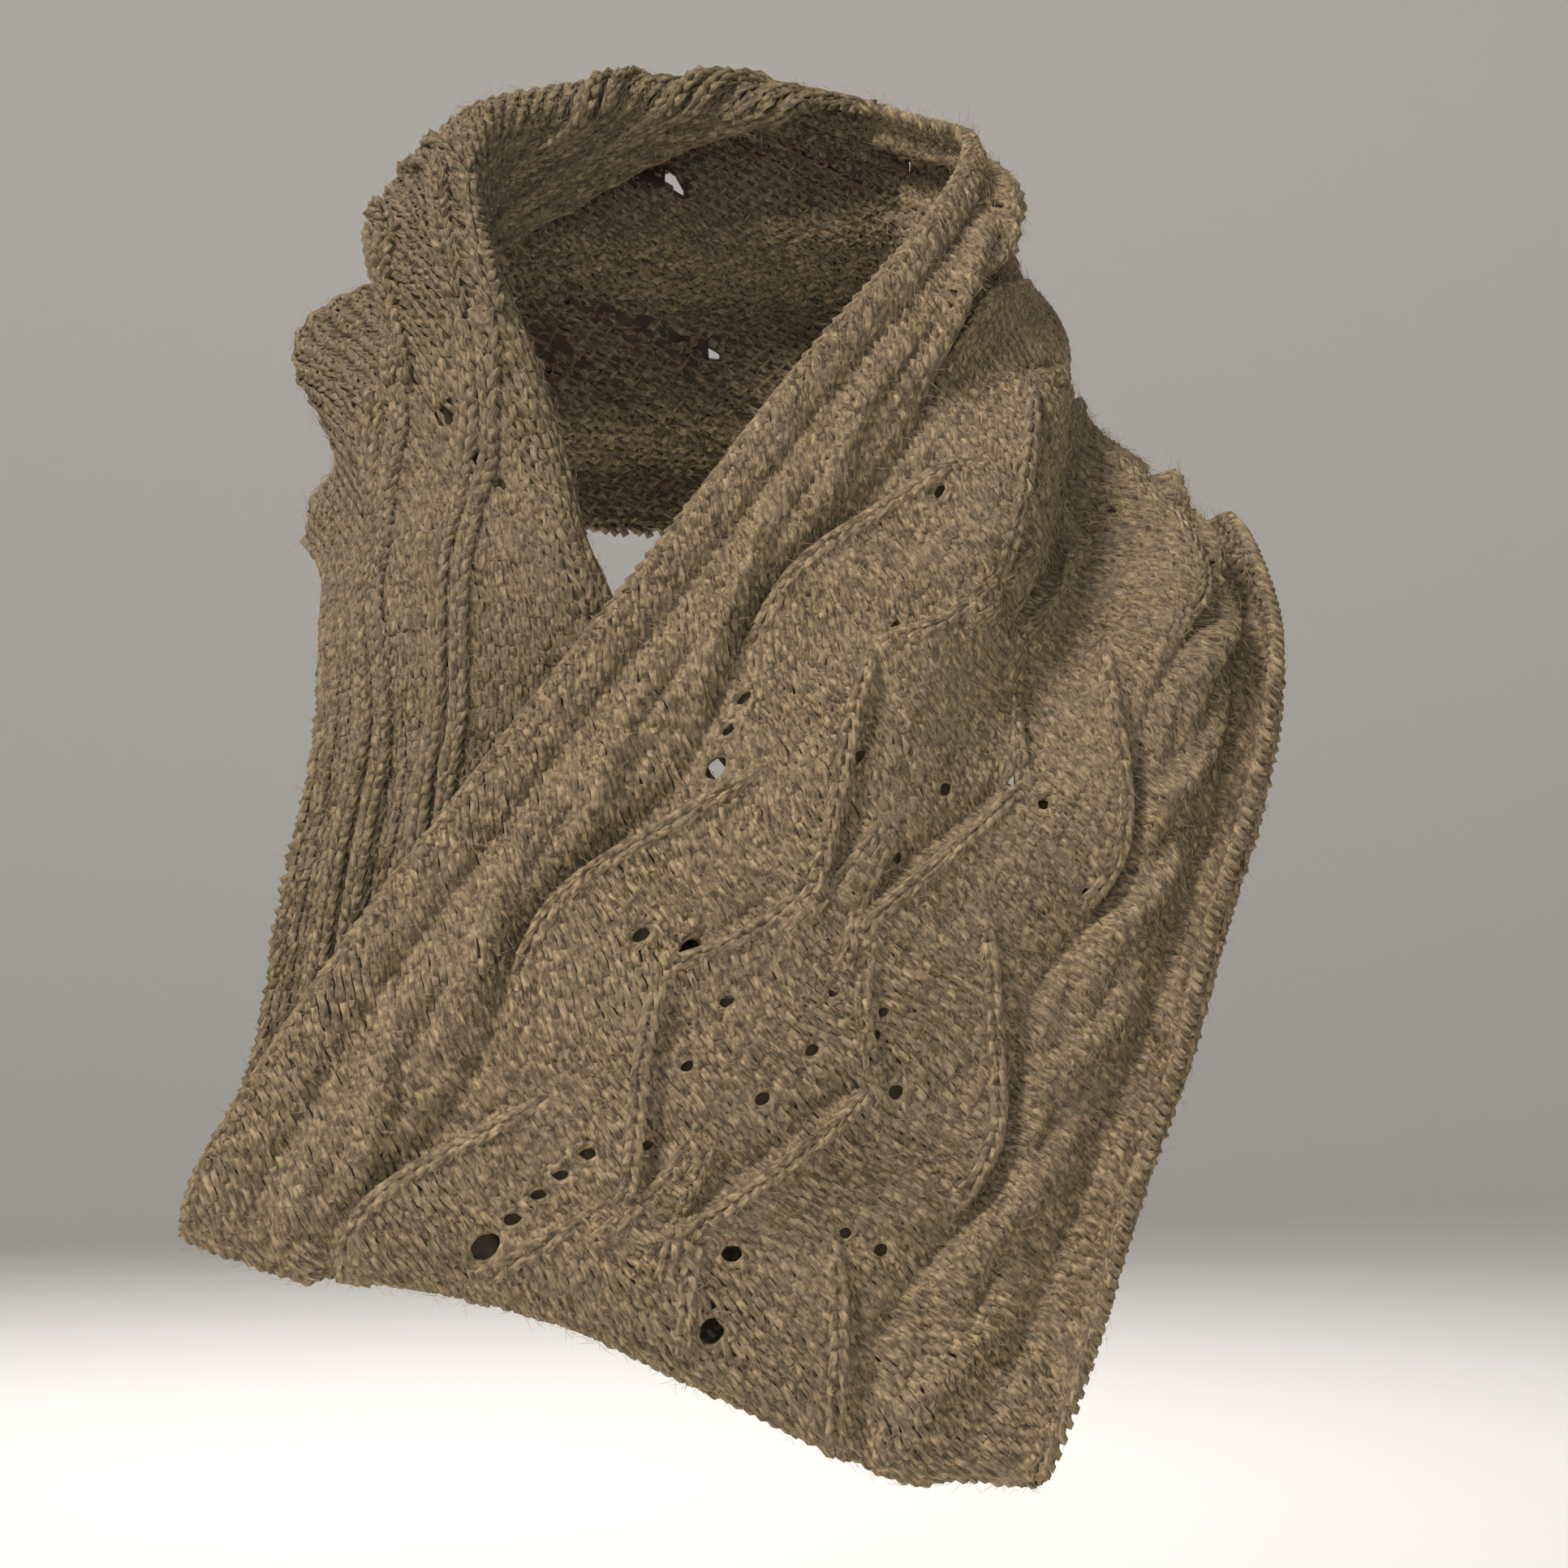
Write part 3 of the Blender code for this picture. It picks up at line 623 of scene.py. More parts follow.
def course_points(first, last, samples):
    """Centre lines of the courses between two places along the band, a row for each course.

    The courses run along the band and are worked from edge to edge. With the angle t growing
    by a full turn in each stitch, the yarn goes along by STITCH * t / (2 pi) +
    LOOP_LEAN * sin(2t), across by -LOOP_RISE * cos(t), and its depth is
    -LOOP_DEPTH * cos(2t): heads and feet lie at the back and the two legs in front.
    """
    stitches = round((last - first) / STITCH)
    points = stitches * samples + 1
    t = np.linspace(0, TAU * stitches, points)[None, :]
    start = (np.arange(COURSES)[:, None] + 0.5) * COURSE
    chance = [unevenness(SEED + int(first) + k, stitches, points, COURSES) for k in range(4)]
    rise = LOOP_RISE * (1 + UNEVEN * chance[0]) * np.cos(t)
    at_edge = np.minimum(start, BAND_WIDTH - start) / COURSE
    across = start - rise * (1 - EDGE_CALM * bell(at_edge)) + SHIFT * chance[1]
    across = np.clip(across, -EDGE_OUT, BAND_WIDTH + EDGE_OUT)
    length = FRONT_END - wale_shift(start, np.full(start.shape, FRONT_END))
    along = first + (last - first) * t / t[0, -1] + LOOP_LEAN * np.sin(2 * t)
    along = along * length / FRONT_END
    along = along + wale_shift(across, along) + SHIFT * chance[2]
    depth = -LOOP_DEPTH * np.cos(2 * t) + LEG_LIFT * np.sin(t) + DEPTH_SHIFT * chance[3]
    across, along = round_eyelets(across, along, start, True)
    side = shown_side(along)
    return across, along, relief(across, along) * side + depth - edge_dip(across) * side


def column_ridges(across, along):
    """Height of the knit columns that stand out on the wrong side, and of the tuck's gathers.

    A column is a pair of bells, with a shallow one sunk on both sides of each. The gathers are
    a sine wave that grows past the bend of the tuck.
    """
    past = across - np.interp(along, drape.along, drape.tuck)
    height = GATHER_RISE * np.sin(TAU * past / GATHER_WAVE) * np.clip(past / GATHER_WAVE, 0, 1)
    for column in COLUMNS:
        away = np.abs(across - np.interp(along, column.along, column.across)) - COLUMN_GAP
        away = np.abs(away)
        beside = (away - COLUMN_SINK_OFFSET) / COLUMN_SINK_WIDTH
        height = np.maximum(height, COLUMN_HEIGHT * bell(away / COLUMN_WIDTH))
        height -= COLUMN_SINK * bell(beside)
    return height


def row_points(first, last, samples):
    """Centre lines of the rows that cross the band on the wrong side, a row for each.

    The same curve as a course, with across and along exchanged; the leg that falls to the
    right lies in front of the other one.
    """
    count = round((last - first) / ROW)
    stitches = round(BAND_WIDTH / WALE)
    points = stitches * samples + 1
    t = np.linspace(0, TAU * stitches, points)[None, :]
    start = first + (np.arange(count)[:, None] + 0.5) * (last - first) / count
    chance = [unevenness(SEED + int(first) + k, stitches, points, count) for k in range(3)]
    across = BAND_WIDTH * t / t[0, -1] + ROW_LEAN * np.sin(2 * t) + SHIFT * chance[0]
    across = np.clip(across, -EDGE_OUT, BAND_WIDTH + EDGE_OUT)
    along = start + ROW_RISE * (1 + UNEVEN * chance[1]) * np.cos(t) + SHIFT * chance[0]
    along = along + ROW_WAVE * np.sin(across / ROW_WAVE_WIDTH) * graft_ease(along)
    depth = -LOOP_DEPTH * np.cos(2 * t) + LEG_LIFT * np.sin(t) + DEPTH_SHIFT * chance[2]
    across, along = round_eyelets(across, along, start, False)
    side = shown_side(along)
    turned_over = 0.5 - 0.5 * side
    height = relief(across, along) * np.maximum(side, 0) - column_ridges(across, along) * turned_over
    return across, along, height + depth * side - edge_dip(across) * side


def knit_loops(across, along, heading, height, samples, scale=1.0):
    """Centre lines of single knit loops at places on the cloth, a row for each.

    Each loop is one stitch of a course, turned to point along its heading: the same curve, with
    across and along exchanged for the directions across and along the column of stitches.
    """
    t = np.linspace(*LOOP_PART, samples)[None, :] * TAU
    sideways = (t / TAU - 0.5 + LOOP_BULGE * np.sin(2 * t)) * COLUMN_STITCH * scale
    lengthways = -COLUMN_RISE * scale * np.cos(t)
    depth = -LOOP_BACK * np.cos(2 * t)
    cos, sin = np.cos(heading)[:, None], np.sin(heading)[:, None]
    new_across = across[:, None] + sideways * cos + lengthways * sin
    new_along = along[:, None] - sideways * sin + lengthways * cos
    return new_across, new_along, height[:, None] + depth


def selvedge_points(first, last, samples):
    """Centre lines of the stitches that close each edge of the band, a row for each stitch."""
    v = np.tile(np.arange(first, last, COLUMN_PITCH), 2)
    u = np.where(np.arange(len(v)) < len(v) // 2, SELVEDGE, BAND_WIDTH - SELVEDGE)
    level = np.full(len(v), -SELVEDGE_DIP) * shown_side(v)
    return knit_loops(u, v, np.zeros(len(v)), level, samples)


def rim_points(first, last, samples):
    """Centre lines of the yarn round each eyelet, in arcs that overlap a little."""
    rims = [(*eyelet_place(eyelet), eyelet.radius) for eyelet in EYELETS]
    rims = np.array([rim for rim in rims if first <= rim[1] < last])
    start = np.repeat(np.arange(RIM_ARCS) * TAU / RIM_ARCS, len(rims))[:, None]
    turn = start + np.linspace(-RIM_LAP, TAU / RIM_ARCS + RIM_LAP, samples)
    u, v, radius = (np.tile(rims[:, k], RIM_ARCS)[:, None] for k in range(3))
    across = u + (radius + RIM_REACH) * np.cos(turn)
    along = v + (radius + RIM_REACH) * np.sin(turn)
    return across, along, (relief(across, along) + RIM_LIFT) * shown_side(along)


def rib_points(first, last, samples):
    """Centre lines of the single stitches of the front, a row for each.

    They are the travelling stitches that lie end to end along the ribs, sunk a little towards
    each rib's ends, then the yarn round the eyelets, and then the selvedges.
    """
    rows = []
    leaves = np.arange(math.floor((first - FIRST_HEART) / LEAF_REPEAT) - 2,
                       math.ceil((last - FIRST_HEART) / LEAF_REPEAT) + 1)
    for rib in RIBS:
        fine, offsets = rib_line(rib, np.linspace(0, 1, RIB_FINE_SAMPLES))
        steps = np.hypot(np.diff(fine) * LEAF_REPEAT, np.diff(offsets))
        length = np.concatenate([[0], np.cumsum(steps)])
        places = np.arange(COLUMN_PITCH / 2, length[-1], COLUMN_PITCH * RIB_SCALE)
        phase, offset = np.interp(places, length, fine), np.interp(places, length, offsets)
        slope = np.gradient(offset, phase * LEAF_REPEAT)
        ends = np.clip(np.minimum(places, length[-1] - places) / RIB_EASE, 0, 1)
        for side in (-1, 1):
            u = np.tile(MIDDLE + side * offset, len(leaves))
            v = FIRST_HEART + (leaves[:, None] + phase).ravel() * LEAF_REPEAT
            v = v + SKEW * graft_ease(v) * (u - MIDDLE)
            kept = (v >= first) & (v < last)
            heading = np.tile(np.arctan(side * slope), len(leaves))
            height = relief(u, v) + RIB_LIFT * rib.rise
            height = height - RIB_END_SINK * (1 - np.tile(ends, len(leaves)))
            rows.append(np.stack(knit_loops(
                u[kept], v[kept], heading[kept], height[kept], samples, RIB_SCALE)))
    across, along, height = np.concatenate(rows, axis=1)
    parts = [(across, along, height * shown_side(along)),
             rim_points(first, last, samples), selvedge_points(first, last, samples)]
    return [np.concatenate(lines) for lines in zip(*parts)]


def column_points(first, last, samples):
    """Centre lines of the knit columns that stand out on the wrong side, a row for each stitch."""
    rows = []
    for column in COLUMNS:
        fine = np.arange(first, last, COLUMN_STEP)
        path = np.interp(fine, column.along, column.across)
        even = np.ones(2 * COLUMN_SMOOTH + 1) / (2 * COLUMN_SMOOTH + 1)
        path = np.convolve(np.pad(path, COLUMN_SMOOTH, mode="edge"), even, mode="valid")
        length = np.concatenate([[0], np.cumsum(np.hypot(np.diff(path), np.diff(fine)))])
        places = np.arange(COLUMN_PITCH / 2, length[-1], COLUMN_PITCH * COLUMN_SCALE)
        v = np.interp(places, length, fine)
        u = np.interp(places, length, path)
        heading = np.arctan(np.gradient(u, v))
        for side in (-1, 1):
            raised = np.full(len(v), COLUMN_HEIGHT)
            rows.append(np.stack(knit_loops(
                u + side * COLUMN_GAP * np.cos(heading), v - side * COLUMN_GAP * np.sin(heading),
                heading, raised, samples, COLUMN_SCALE)))
    across, along, height = np.concatenate(rows, axis=1)
    return across, along, height * shown_side(along)


def yarn_mesh(name, lines, sides):
    """Tubes round centre lines given as across, along and height, as one mesh.

    Each ring lies across the line's direction; its up is the cloth's normal. A flat cap closes
    each end. The UV map has the length along the yarn in millimetres and the way round it.
    """
    across, along, height = lines
    point, normal = drape.read(across, along)
    centre = point + normal * height[..., None]
    direction = unit(np.gradient(centre, axis=1))
    side = unit(np.cross(direction, normal))
    up = np.cross(side, direction)
    turn = TAU * (np.arange(sides) + 0.5) / sides
    swell = YARN_RADIUS * (1 + SWELL * np.sin(SWELL_ACROSS * across + SWELL_ALONG * along))
    ring = np.cos(turn)[:, None] * side[..., None, :] + np.sin(turn)[:, None] * up[..., None, :]
    tube = centre[..., None, :] + ring * swell[..., None, None]
    courses, knots = across.shape
    index = np.arange(courses * knots * sides).reshape(courses, knots, sides)
    onward = np.roll(index, -1, axis=2)
    faces = np.stack([index[:, :-1], index[:, 1:], onward[:, 1:], onward[:, :-1]], -1).reshape(-1, 4)
    caps = np.stack([index[:, 0], index[:, -1, ::-1]], 1)
    corners = np.concatenate([faces.ravel(), caps.ravel()])
    face_start = 4 * np.arange(len(faces))
    cap_start = faces.size + sides * np.arange(2 * courses)
    loop_start = np.concatenate([face_start, cap_start])
    mesh = bpy.data.meshes.new(name)
    mesh.vertices.add(tube.size // 3)
    mesh.vertices.foreach_set("co", (tube * MM).astype(np.float32).ravel())
    mesh.loops.add(len(corners))
    mesh.loops.foreach_set("vertex_index", corners.astype(np.int32))
    mesh.polygons.add(len(faces) + 2 * courses)
    mesh.polygons.foreach_set("loop_start", loop_start.astype(np.int32))
    step = np.linalg.norm(np.diff(centre, axis=1), axis=2)
    length = np.concatenate([np.zeros((courses, 1)), np.cumsum(step, axis=1)], axis=1)
    length += YARN_OFFSET * np.arange(courses)[:, None]
    place = np.stack(np.broadcast_arrays(length[..., None], np.arange(sides) / sides), -1)
    near, far, next_side = place[:, :-1], place[:, 1:], (0, 1 / sides)
    wall_uv = np.stack([near, far, far + next_side, near + next_side], 3)
    cap_uv = np.stack([place[:, 0], place[:, -1, ::-1]], 1)
    uv = mesh.uv_layers.new(name="yarn")
    uv.data.foreach_set("uv", np.append(wall_uv, cap_uv).astype(np.float32))
    mesh.update()
    mesh.shade_smooth()
    return mesh


def nap_mesh(name, first, last, count):
    """Loose fibres that stand off the yarn: thin bent slivers, pointed at both ends.

    A fibre starts on the cloth, runs off in a random direction and rises as it goes. Its width
    is taken across its own direction at its middle, where it bends.
    """
    chance = np.random.default_rng(NAP_SEED + int(first))
    across = chance.uniform(0, BAND_WIDTH, count)
    along = chance.uniform(first, last, count)
    clear = np.ones(count, dtype=bool)
    for eyelet in EYELETS:
        u, v = eyelet_place(eyelet)
        clear &= np.hypot(across - u, along - v) > eyelet.radius + NAP_LENGTH
    across, along = across[clear], along[clear]
    count = len(across)
    shown = shown_side(along)
    outward = np.where(chance.uniform(size=count) < NAP_OUTSIDE, 1.0, -1.0) * shown
    point, normal = drape.read(across, along)
    height = relief(across, along) * np.maximum(shown, 0) + NAP_ROOT * outward
    root = point + normal * height[:, None]
    away = chance.normal(size=(count, 3))
    away = unit(away - np.sum(away * normal, axis=1)[:, None] * normal)
    bend = unit(away + NAP_BEND * chance.normal(size=(count, 3)))
    length = NAP_LENGTH * chance.uniform(*NAP_LENGTHS, count)[:, None]
    rise = (normal * outward[:, None]) * chance.uniform(*NAP_RISES, count)[:, None]
    middle = root + (away + rise) * length * 0.5
    tip = middle + unit(away + bend + rise) * length * 0.5
    side = unit(np.cross(away, chance.normal(size=(count, 3)))) * NAP_WIDTH / 2
    verts = np.stack([root, middle + side, middle - side, tip], 1)
    faces = 4 * np.arange(count)[:, None, None] + np.array([[0, 1, 2], [2, 1, 3]])
    mesh = bpy.data.meshes.new(name)
    mesh.from_pydata((verts.reshape(-1, 3) * MM).tolist(), [], faces.reshape(-1, 3).tolist())
    mesh.update()
    return mesh


# ---------------------------------------------------------------- the cloth under the stitches

BASE_ACROSS = 60
BASE_STEP = 3.9
BASE_MARGIN = 0.8
BASE_HALF = 0.25

# It follows the relief a little less where that rises and more where it sinks, lies deeper than
# the yarn, and sinks into a pocket round each eyelet.
BASE_SINK = 0.35
BASE_RISES = 0.9
BASE_SINKS = 1.3
BASE_POCKET = 1.6
POCKET_REACH = 1.5


def base_mesh(name, first, last):
    """A thin closed shell inside the stitches, with a hole at each larger eyelet.

    A grid over the band is moved by the chart, so its cells part round the eyelets; the cells
    that hold an eyelet's middle are left out, and two layers are joined round every edge.
    """
    count = round((last - first) / BASE_STEP)
    start = np.linspace(first, last, count + 1)
    columns = np.linspace(BASE_MARGIN, BAND_WIDTH - BASE_MARGIN, BASE_ACROSS + 1)
    across, along = np.meshgrid(columns, start)
    along += wale_shift(across, along)
    across, along = round_eyelets(across, along, across.copy(), True)
    point, normal = drape.read(across, along)
    shown = shown_side(along)
    height = relief(across, along) * np.maximum(shown, 0)
    height -= column_ridges(across, along) * (0.5 - 0.5 * shown)
    height = np.where(height * shown < 0, BASE_SINKS, BASE_RISES) * height
    height -= BASE_SINK * np.maximum(shown, 0)
    pocket = np.zeros(across.shape)
    kept = np.ones((count, BASE_ACROSS), dtype=bool)
    for eyelet in EYELETS:
        u, v = eyelet_place(eyelet)
        near = np.hypot(across - u, along - v) / (eyelet.radius + POCKET_REACH)
        pocket = np.maximum(pocket, np.exp(-near ** 4))
        if first < v < last and eyelet.radius >= OPEN_RADIUS:
            cell_across = (across[:-1, :-1] + across[1:, 1:]) / 2 - u
            cell_along = (along[:-1, :-1] + along[1:, 1:]) / 2 - v
            nearest = np.argmin(cell_across ** 2 + cell_along ** 2)
            kept[np.unravel_index(nearest, kept.shape)] = False
    height -= BASE_POCKET * shown * pocket
    outer = point + normal * (height + BASE_HALF)[..., None]
    inner = point + normal * (height - BASE_HALF)[..., None]
    index = np.arange(across.size).reshape(across.shape)
    top = np.stack([index[:-1, :-1], index[1:, :-1], index[1:, 1:], index[:-1, 1:]], -1)[kept]
    low = top[:, ::-1] + across.size
    edges = np.concatenate([np.stack([top[:, k], top[:, (k + 1) % 4]], 1) for k in range(4)])
    code = edges[:, 0] * across.size * 2 + edges[:, 1]
    back = edges[:, 1] * across.size * 2 + edges[:, 0]
    rim = edges[~np.isin(code, back)]
    wall = np.stack([rim[:, 1], rim[:, 0], rim[:, 0] + across.size, rim[:, 1] + across.size], 1)
    faces = np.concatenate([top, low, wall])
    verts = np.concatenate([outer.reshape(-1, 3), inner.reshape(-1, 3)])
    used = np.unique(faces)
    renumber = np.zeros(len(verts), dtype=int)
    renumber[used] = np.arange(len(used))
    mesh = bpy.data.meshes.new(name)
    mesh.from_pydata((verts[used] * MM).tolist(), [], renumber[faces].tolist())
    # The pocket strength is kept on the mesh, where the lining reads it for the painted shade behind
    # the eyelets.
    shade = mesh.attributes.new("pocket", "FLOAT", "POINT")
    shade.data.foreach_set("value", np.tile(pocket.ravel(), 2)[used].astype(np.float32))
    mesh.update()
    mesh.shade_smooth()
    return mesh


# ---------------------------------------------------------------- materials

# Three plies; one turn of the twist in PLY_PITCH millimetres. A wave texture of scale 1 has
# one band in WAVE_UNIT units.
PLY_COUNT = 3.0
PLY_PITCH = 5.0
WAVE_UNIT = math.pi / 10
POCKET_SHADE = (0.008, 0.006, 0.004, 1)


def add_node(tree, kind, values, sources, **settings):
    """A shader node: its settings, then the values of its inputs, then what they are linked to."""
    node = tree.nodes.new("ShaderNode" + kind)
    for name, setting in settings.items():
        setattr(node, name, setting)
    for name, value in values.items():
        node.inputs[name].default_value = value
    for name, output in sources.items():
        tree.links.new(output, node.inputs[name])
    return node


def wool_material(name, dark, light, grey, sheen=0.35):
    """Heathered plied wool: fibre streaks along the yarn, twisted plies and a soft nap."""
    material = bpy.data.materials.new(name)
    material.use_nodes = True
    tree = material.node_tree
    shader = tree.nodes["Principled BSDF"]
    finish = {"Roughness": 0.9, "Specular IOR Level": 0.15, "Sheen Weight": sheen,
              "Sheen Roughness": 0.55, "Sheen Tint": (0.9, 0.74, 0.52, 1.0)}
    for socket, value in finish.items():
        shader.inputs[socket].default_value = value

    place = add_node(tree, "TexCoord", {}, {})
    stretch = add_node(tree, "Mapping", {"Scale": (0.5, 7.0, 1.0)}, {"Vector": place.outputs["UV"]})
    fibres = add_node(tree, "TexNoise", {"Scale": 1.0, "Detail": 3.0},
                      {"Vector": stretch.outputs["Vector"]})
    heather = add_node(tree, "ValToRGB", {}, {"Fac": fibres.outputs["Fac"]})
    for stop, position, colour in zip(heather.color_ramp.elements, (0.36, 0.66), (dark, light)):
        stop.position = position
        stop.color = colour

    patches = add_node(tree, "TexNoise", {"Scale": 90.0, "Detail": 2.0},
                       {"Vector": place.outputs["Object"]})
    amount = add_node(tree, "MapRange", {"From Min": 0.35, "From Max": 0.75, "To Max": 0.5},
                      {"Value": patches.outputs["Fac"]})
    tint = add_node(tree, "Mix", {"B": grey}, {"Factor": amount.outputs["Result"],
                    "A": heather.outputs["Color"]}, data_type="RGBA")

    strands = add_node(tree, "Mapping", {"Scale": (0.3, 1.6, 1.0)}, {"Vector": place.outputs["UV"]})
    flecks = add_node(tree, "TexNoise", {"Scale": 1.0, "Detail": 2.0},
                      {"Vector": strands.outputs["Vector"]})
    gain = add_node(tree, "MapRange",
                    {"From Min": 0.34, "From Max": 0.66, "To Min": 0.55, "To Max": 1.6},
                    {"Value": flecks.outputs["Fac"]})
    fleck = add_node(tree, "Mix", {"Factor": 1.0},
                     {"A": tint.outputs["Result"], "B": gain.outputs["Result"]},
                     data_type="RGBA", blend_type="MULTIPLY")
    tree.links.new(fleck.outputs["Result"], shader.inputs["Base Color"])

    twist = add_node(tree, "Mapping", {"Rotation": (0.0, 0.0, math.atan2(PLY_COUNT, 1.0 / PLY_PITCH))},
                     {"Vector": place.outputs["UV"]})
    bands = math.hypot(PLY_COUNT, 1.0 / PLY_PITCH) / WAVE_UNIT
    plies = add_node(tree, "TexWave", {"Scale": bands, "Distortion": 0.6},
                     {"Vector": twist.outputs["Vector"]}, wave_type="BANDS", bands_direction="X")
    bump = add_node(tree, "Bump", {"Strength": 0.5, "Distance": 0.0003},
                    {"Height": plies.outputs["Fac"]})
    fine = add_node(tree, "Bump", {"Strength": 0.4, "Distance": 0.0002},
                    {"Height": fibres.outputs["Fac"], "Normal": bump.outputs["Normal"]})
    tree.links.new(fine.outputs["Normal"], shader.inputs["Normal"])
    return material


def lining_material(name, dark, light, grey):
    """The wool inside the stitches, mixed to nearly black in the pockets behind the eyelets: painted
    shade.
    """
    material = wool_material(name, dark, light, grey, 0.0)
    tree = material.node_tree
    colour = tree.nodes["Principled BSDF"].inputs["Base Color"]
    pocket = add_node(tree, "Attribute", {}, {}, attribute_name="pocket")
    pocket_shade_mix = add_node(tree, "Mix", {"B": POCKET_SHADE}, {"Factor": pocket.outputs["Fac"],
                    "A": colour.links[0].from_socket}, data_type="RGBA")
    tree.links.new(pocket_shade_mix.outputs["Result"], colour)
    return material


yarn_wool = wool_material(
    "heathered_wool", (0.085, 0.057, 0.03, 1), (0.47, 0.346, 0.195, 1), (0.33, 0.255, 0.16, 1))
# The same heathered wool at about four fifths of its brightness, for the under and nape stretches:
# painted shade.
yarn_with_painted_shade = wool_material(
    "heathered_wool_painted_shade", (0.068, 0.045, 0.024, 1), (0.37, 0.272, 0.153, 1), (0.26, 0.2, 0.126, 1))
nap_wool = wool_material(
    "loose_fibres", (0.22, 0.155, 0.09, 1), (0.55, 0.42, 0.27, 1), (0.45, 0.36, 0.25, 1))
# The lining is the wool's brown, darkened well below the yarn as painted shade between the stitches;
# its under and nape copy is darker still, more painted shade.
lining_with_painted_shade = lining_material(
    "inner_wool_painted_shade", (0.045, 0.031, 0.018, 1), (0.15, 0.108, 0.064, 1), (0.12, 0.09, 0.055, 1))
lining_with_more_painted_shade = lining_material(
    "inner_wool_more_painted_shade", (0.035, 0.025, 0.015, 1), (0.13, 0.095, 0.06, 1), (0.11, 0.085, 0.055, 1))

# ---------------------------------------------------------------- pieces


def add_piece(name, mesh, material, slot):
    """Puts a mesh in the scene as a piece of the band, which has one body."""
    piece = bpy.data.objects.new(name, mesh)
    bpy.context.collection.objects.link(piece)
    piece.data.materials.append(material)
    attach(piece, "root")
    return piece


# Each stretch: node, slot, where it runs, the number of yarn pieces, the yarn's fineness and
# the number of loose fibres.
Stretch = namedtuple("Stretch", "node slot first last pieces samples sides fibres")
STRETCHES = [
    Stretch("front_wrap", "front_wool", 0.0, FRONT_END, 3, 7, 4, 30000),
    Stretch("under_wrap", "under_wool", FRONT_END, UNDER_END, 2, 6, 4, 12000),
    Stretch("nape_wrap", "nape_wool", UNDER_END, drape.length, 2, 6, 3, 9000),
]

for stretch in STRETCHES:
    short = stretch.node.split("_")[0]
    in_front = stretch.node == "front_wrap"
    # Under and nape take the darker copies of the yarn and the lining: painted shade.
    lining, yarn = (lining_with_painted_shade, yarn_wool) if in_front else (lining_with_more_painted_shade, yarn_with_painted_shade)
    cloth = add_piece(short + "_cloth", base_mesh(short + "_cloth", stretch.first, stretch.last),
                      lining, stretch.slot)
    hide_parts(stretch.node)
    cuts = np.linspace(stretch.first, stretch.last, stretch.pieces + 1)
    lines = course_points if in_front else row_points
    for number, (low, high) in enumerate(zip(cuts[:-1], cuts[1:]), 1):
        name = f"{short}_stitches_{number}"
        mesh = yarn_mesh(name, lines(low, high, stretch.samples), stretch.sides)
        add_piece(name, mesh, yarn, stretch.slot)
    name = short + "_ribs"
    columns = rib_points if in_front else column_points
    mesh = yarn_mesh(name, columns(stretch.first, stretch.last, LOOP_SAMPLES), stretch.sides)
    add_piece(name, mesh, yarn, stretch.slot)
    name = short + "_nap"
    mesh = nap_mesh(name, stretch.first, stretch.last, stretch.fibres)
    add_piece(name, mesh, nap_wool, stretch.slot)

# ---------------------------------------------------------------- stage, light and camera


def matt_material(name, colour):
    """An even matt finish."""
    material = bpy.data.materials.new(name)
    material.use_nodes = True
    shader = material.node_tree.nodes["Principled BSDF"]
    shader.inputs["Base Color"].default_value = colour
    shader.inputs["Roughness"].default_value = 0.8
    return material


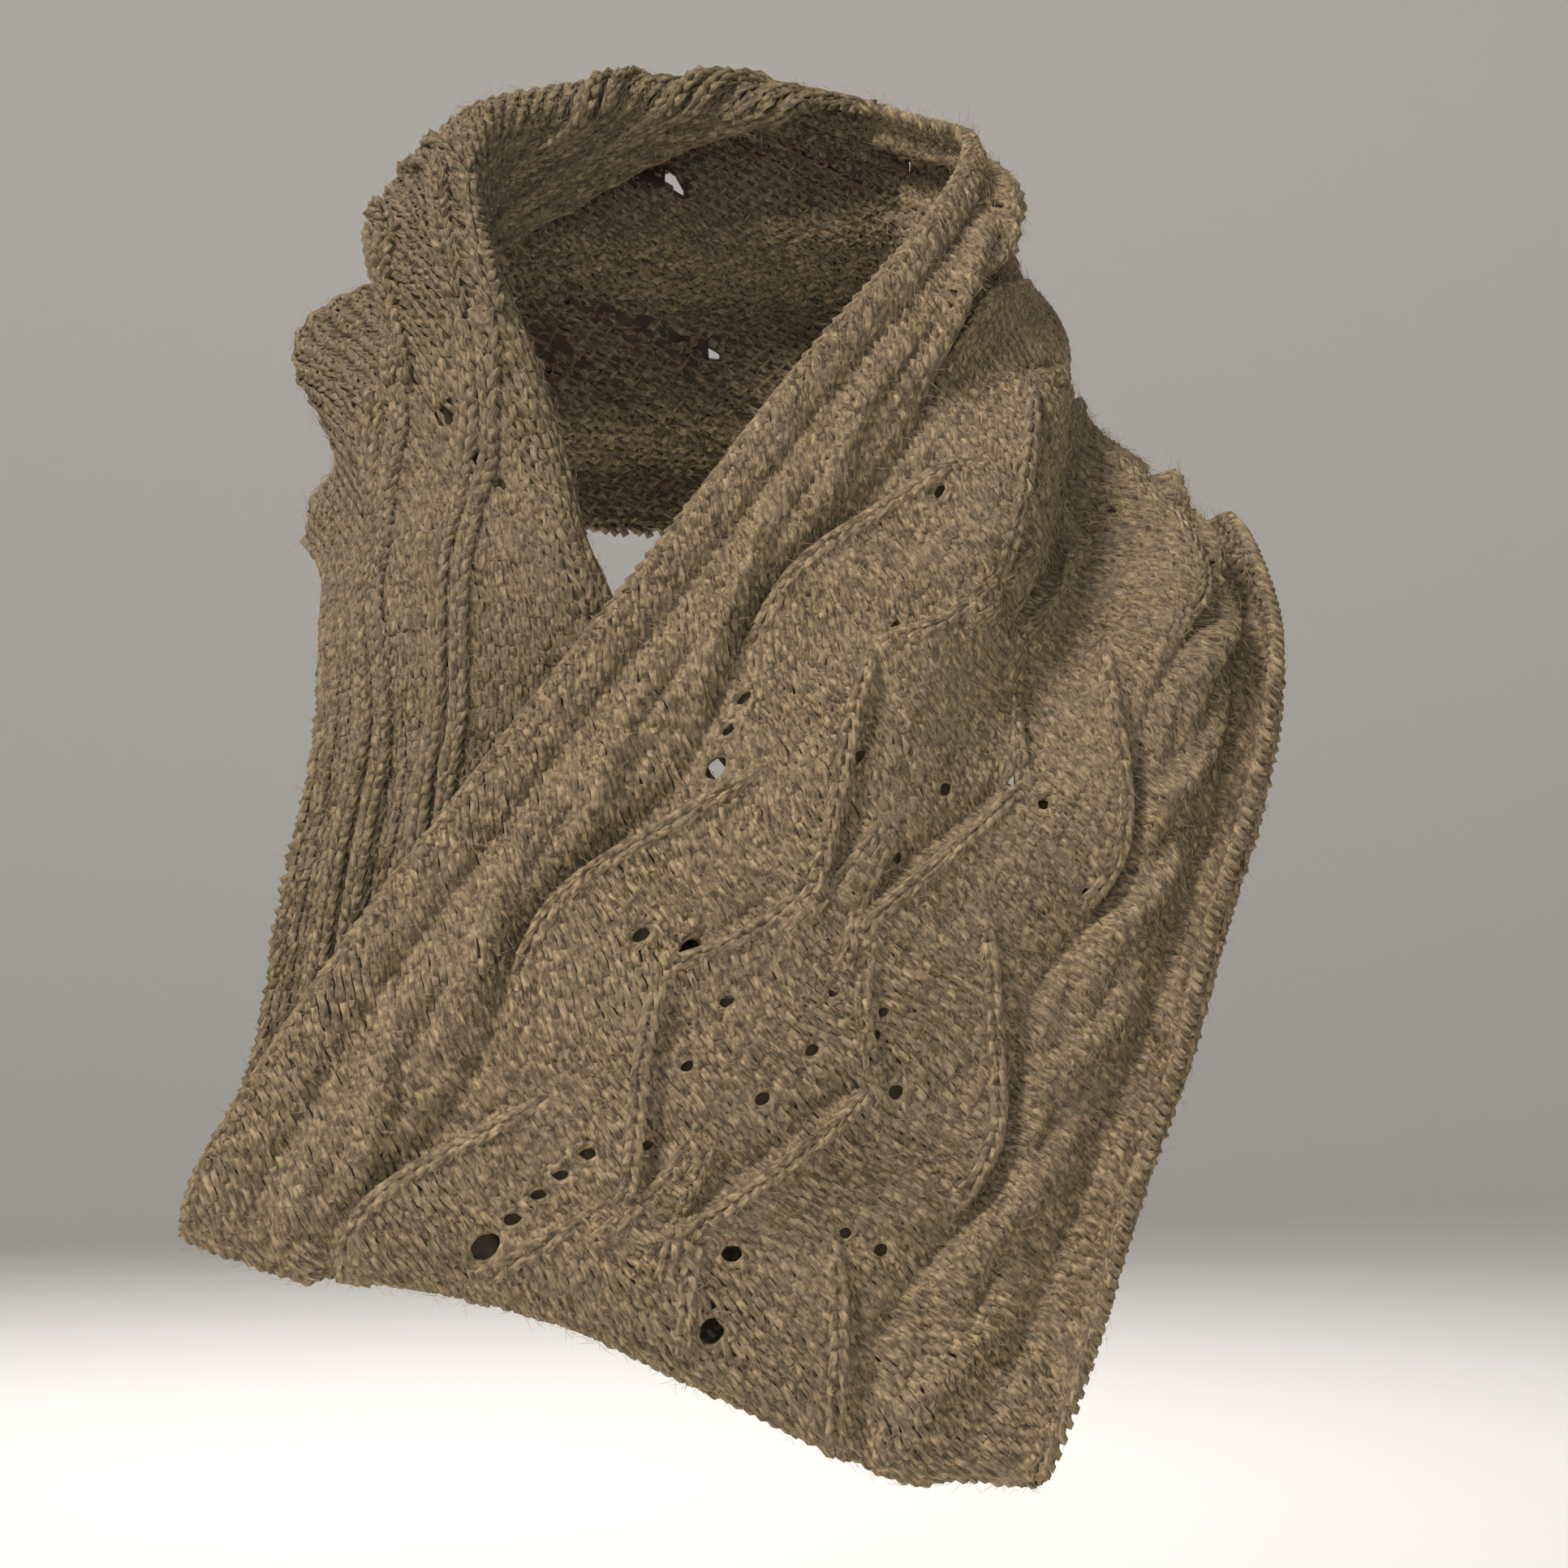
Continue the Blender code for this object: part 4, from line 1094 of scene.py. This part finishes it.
def backdrop():
    """A pale floor that rises into a wall behind, on a quarter circle."""
    floor, front, radius, wall, half, top = -0.45, -1.9, 0.6, 2.4, 3.0, 2.8
    turn = np.linspace(0, np.pi / 2, 13)
    y = np.concatenate([[front], wall - radius + radius * np.sin(turn), [wall]])
    z = np.concatenate([[floor], floor + radius * (1 - np.cos(turn)), [floor + top]])
    verts = [(x, a, b) for a, b in zip(y, z) for x in (-half, half)]
    faces = [(2 * k, 2 * k + 1, 2 * k + 3, 2 * k + 2) for k in range(len(y) - 1)]
    mesh = bpy.data.meshes.new("backdrop")
    mesh.from_pydata(verts, [], faces)
    mesh.shade_smooth()
    stage = bpy.data.objects.new("backdrop", mesh)
    stage.data.materials.append(matt_material("pale_floor", (0.88, 0.865, 0.83, 1)))
    bpy.context.collection.objects.link(stage)


def area_light(name, place, size, power, colour):
    """A round lamp that faces the middle of the picture."""
    lamp = bpy.data.lights.new(name, "AREA")
    lamp.shape = "DISK"
    lamp.size = size
    lamp.energy = power
    lamp.color = colour
    light = bpy.data.objects.new(name, lamp)
    light.location = place
    light.rotation_euler = (Vector(place) - LOOK_AT).to_track_quat("Z", "Y").to_euler()
    bpy.context.collection.objects.link(light)


# The view: from in front with a long lens, looking down by a few degrees.
LOOK_AT = Vector((0.015, 0.0, -0.122))
ELEVATION = math.radians(3.0)
DISTANCE = 1.5
FRAME_WIDTH = 0.354

backdrop()
area_light("key", (-0.75, -0.75, 1.35), 0.5, 23.5, (1.0, 0.96, 0.91))
area_light("fill", (0.05, -1.5, 0.1), 1.0, 6.0, (0.97, 0.98, 1.0))
area_light("back", (-0.15, 1.35, 0.55), 1.0, 15.0, (1.0, 0.98, 0.95))

world = bpy.data.worlds.new("studio")
world.use_nodes = True
sky = world.node_tree.nodes["Background"]
sky.inputs["Color"].default_value = (1.0, 0.98, 0.95, 1)
sky.inputs["Strength"].default_value = 0.15
bpy.context.scene.world = world

lens = bpy.data.cameras.new("camera")
lens.sensor_width = 36.0
lens.lens = lens.sensor_width * DISTANCE / FRAME_WIDTH
camera = bpy.data.objects.new("camera", lens)
back = Vector((0.0, -math.cos(ELEVATION), math.sin(ELEVATION)))
camera.location = LOOK_AT + back * DISTANCE
camera.rotation_euler = back.to_track_quat("Z", "Y").to_euler()
bpy.context.collection.objects.link(camera)
bpy.context.scene.camera = camera
bpy.context.scene.view_settings.view_transform = "Standard"
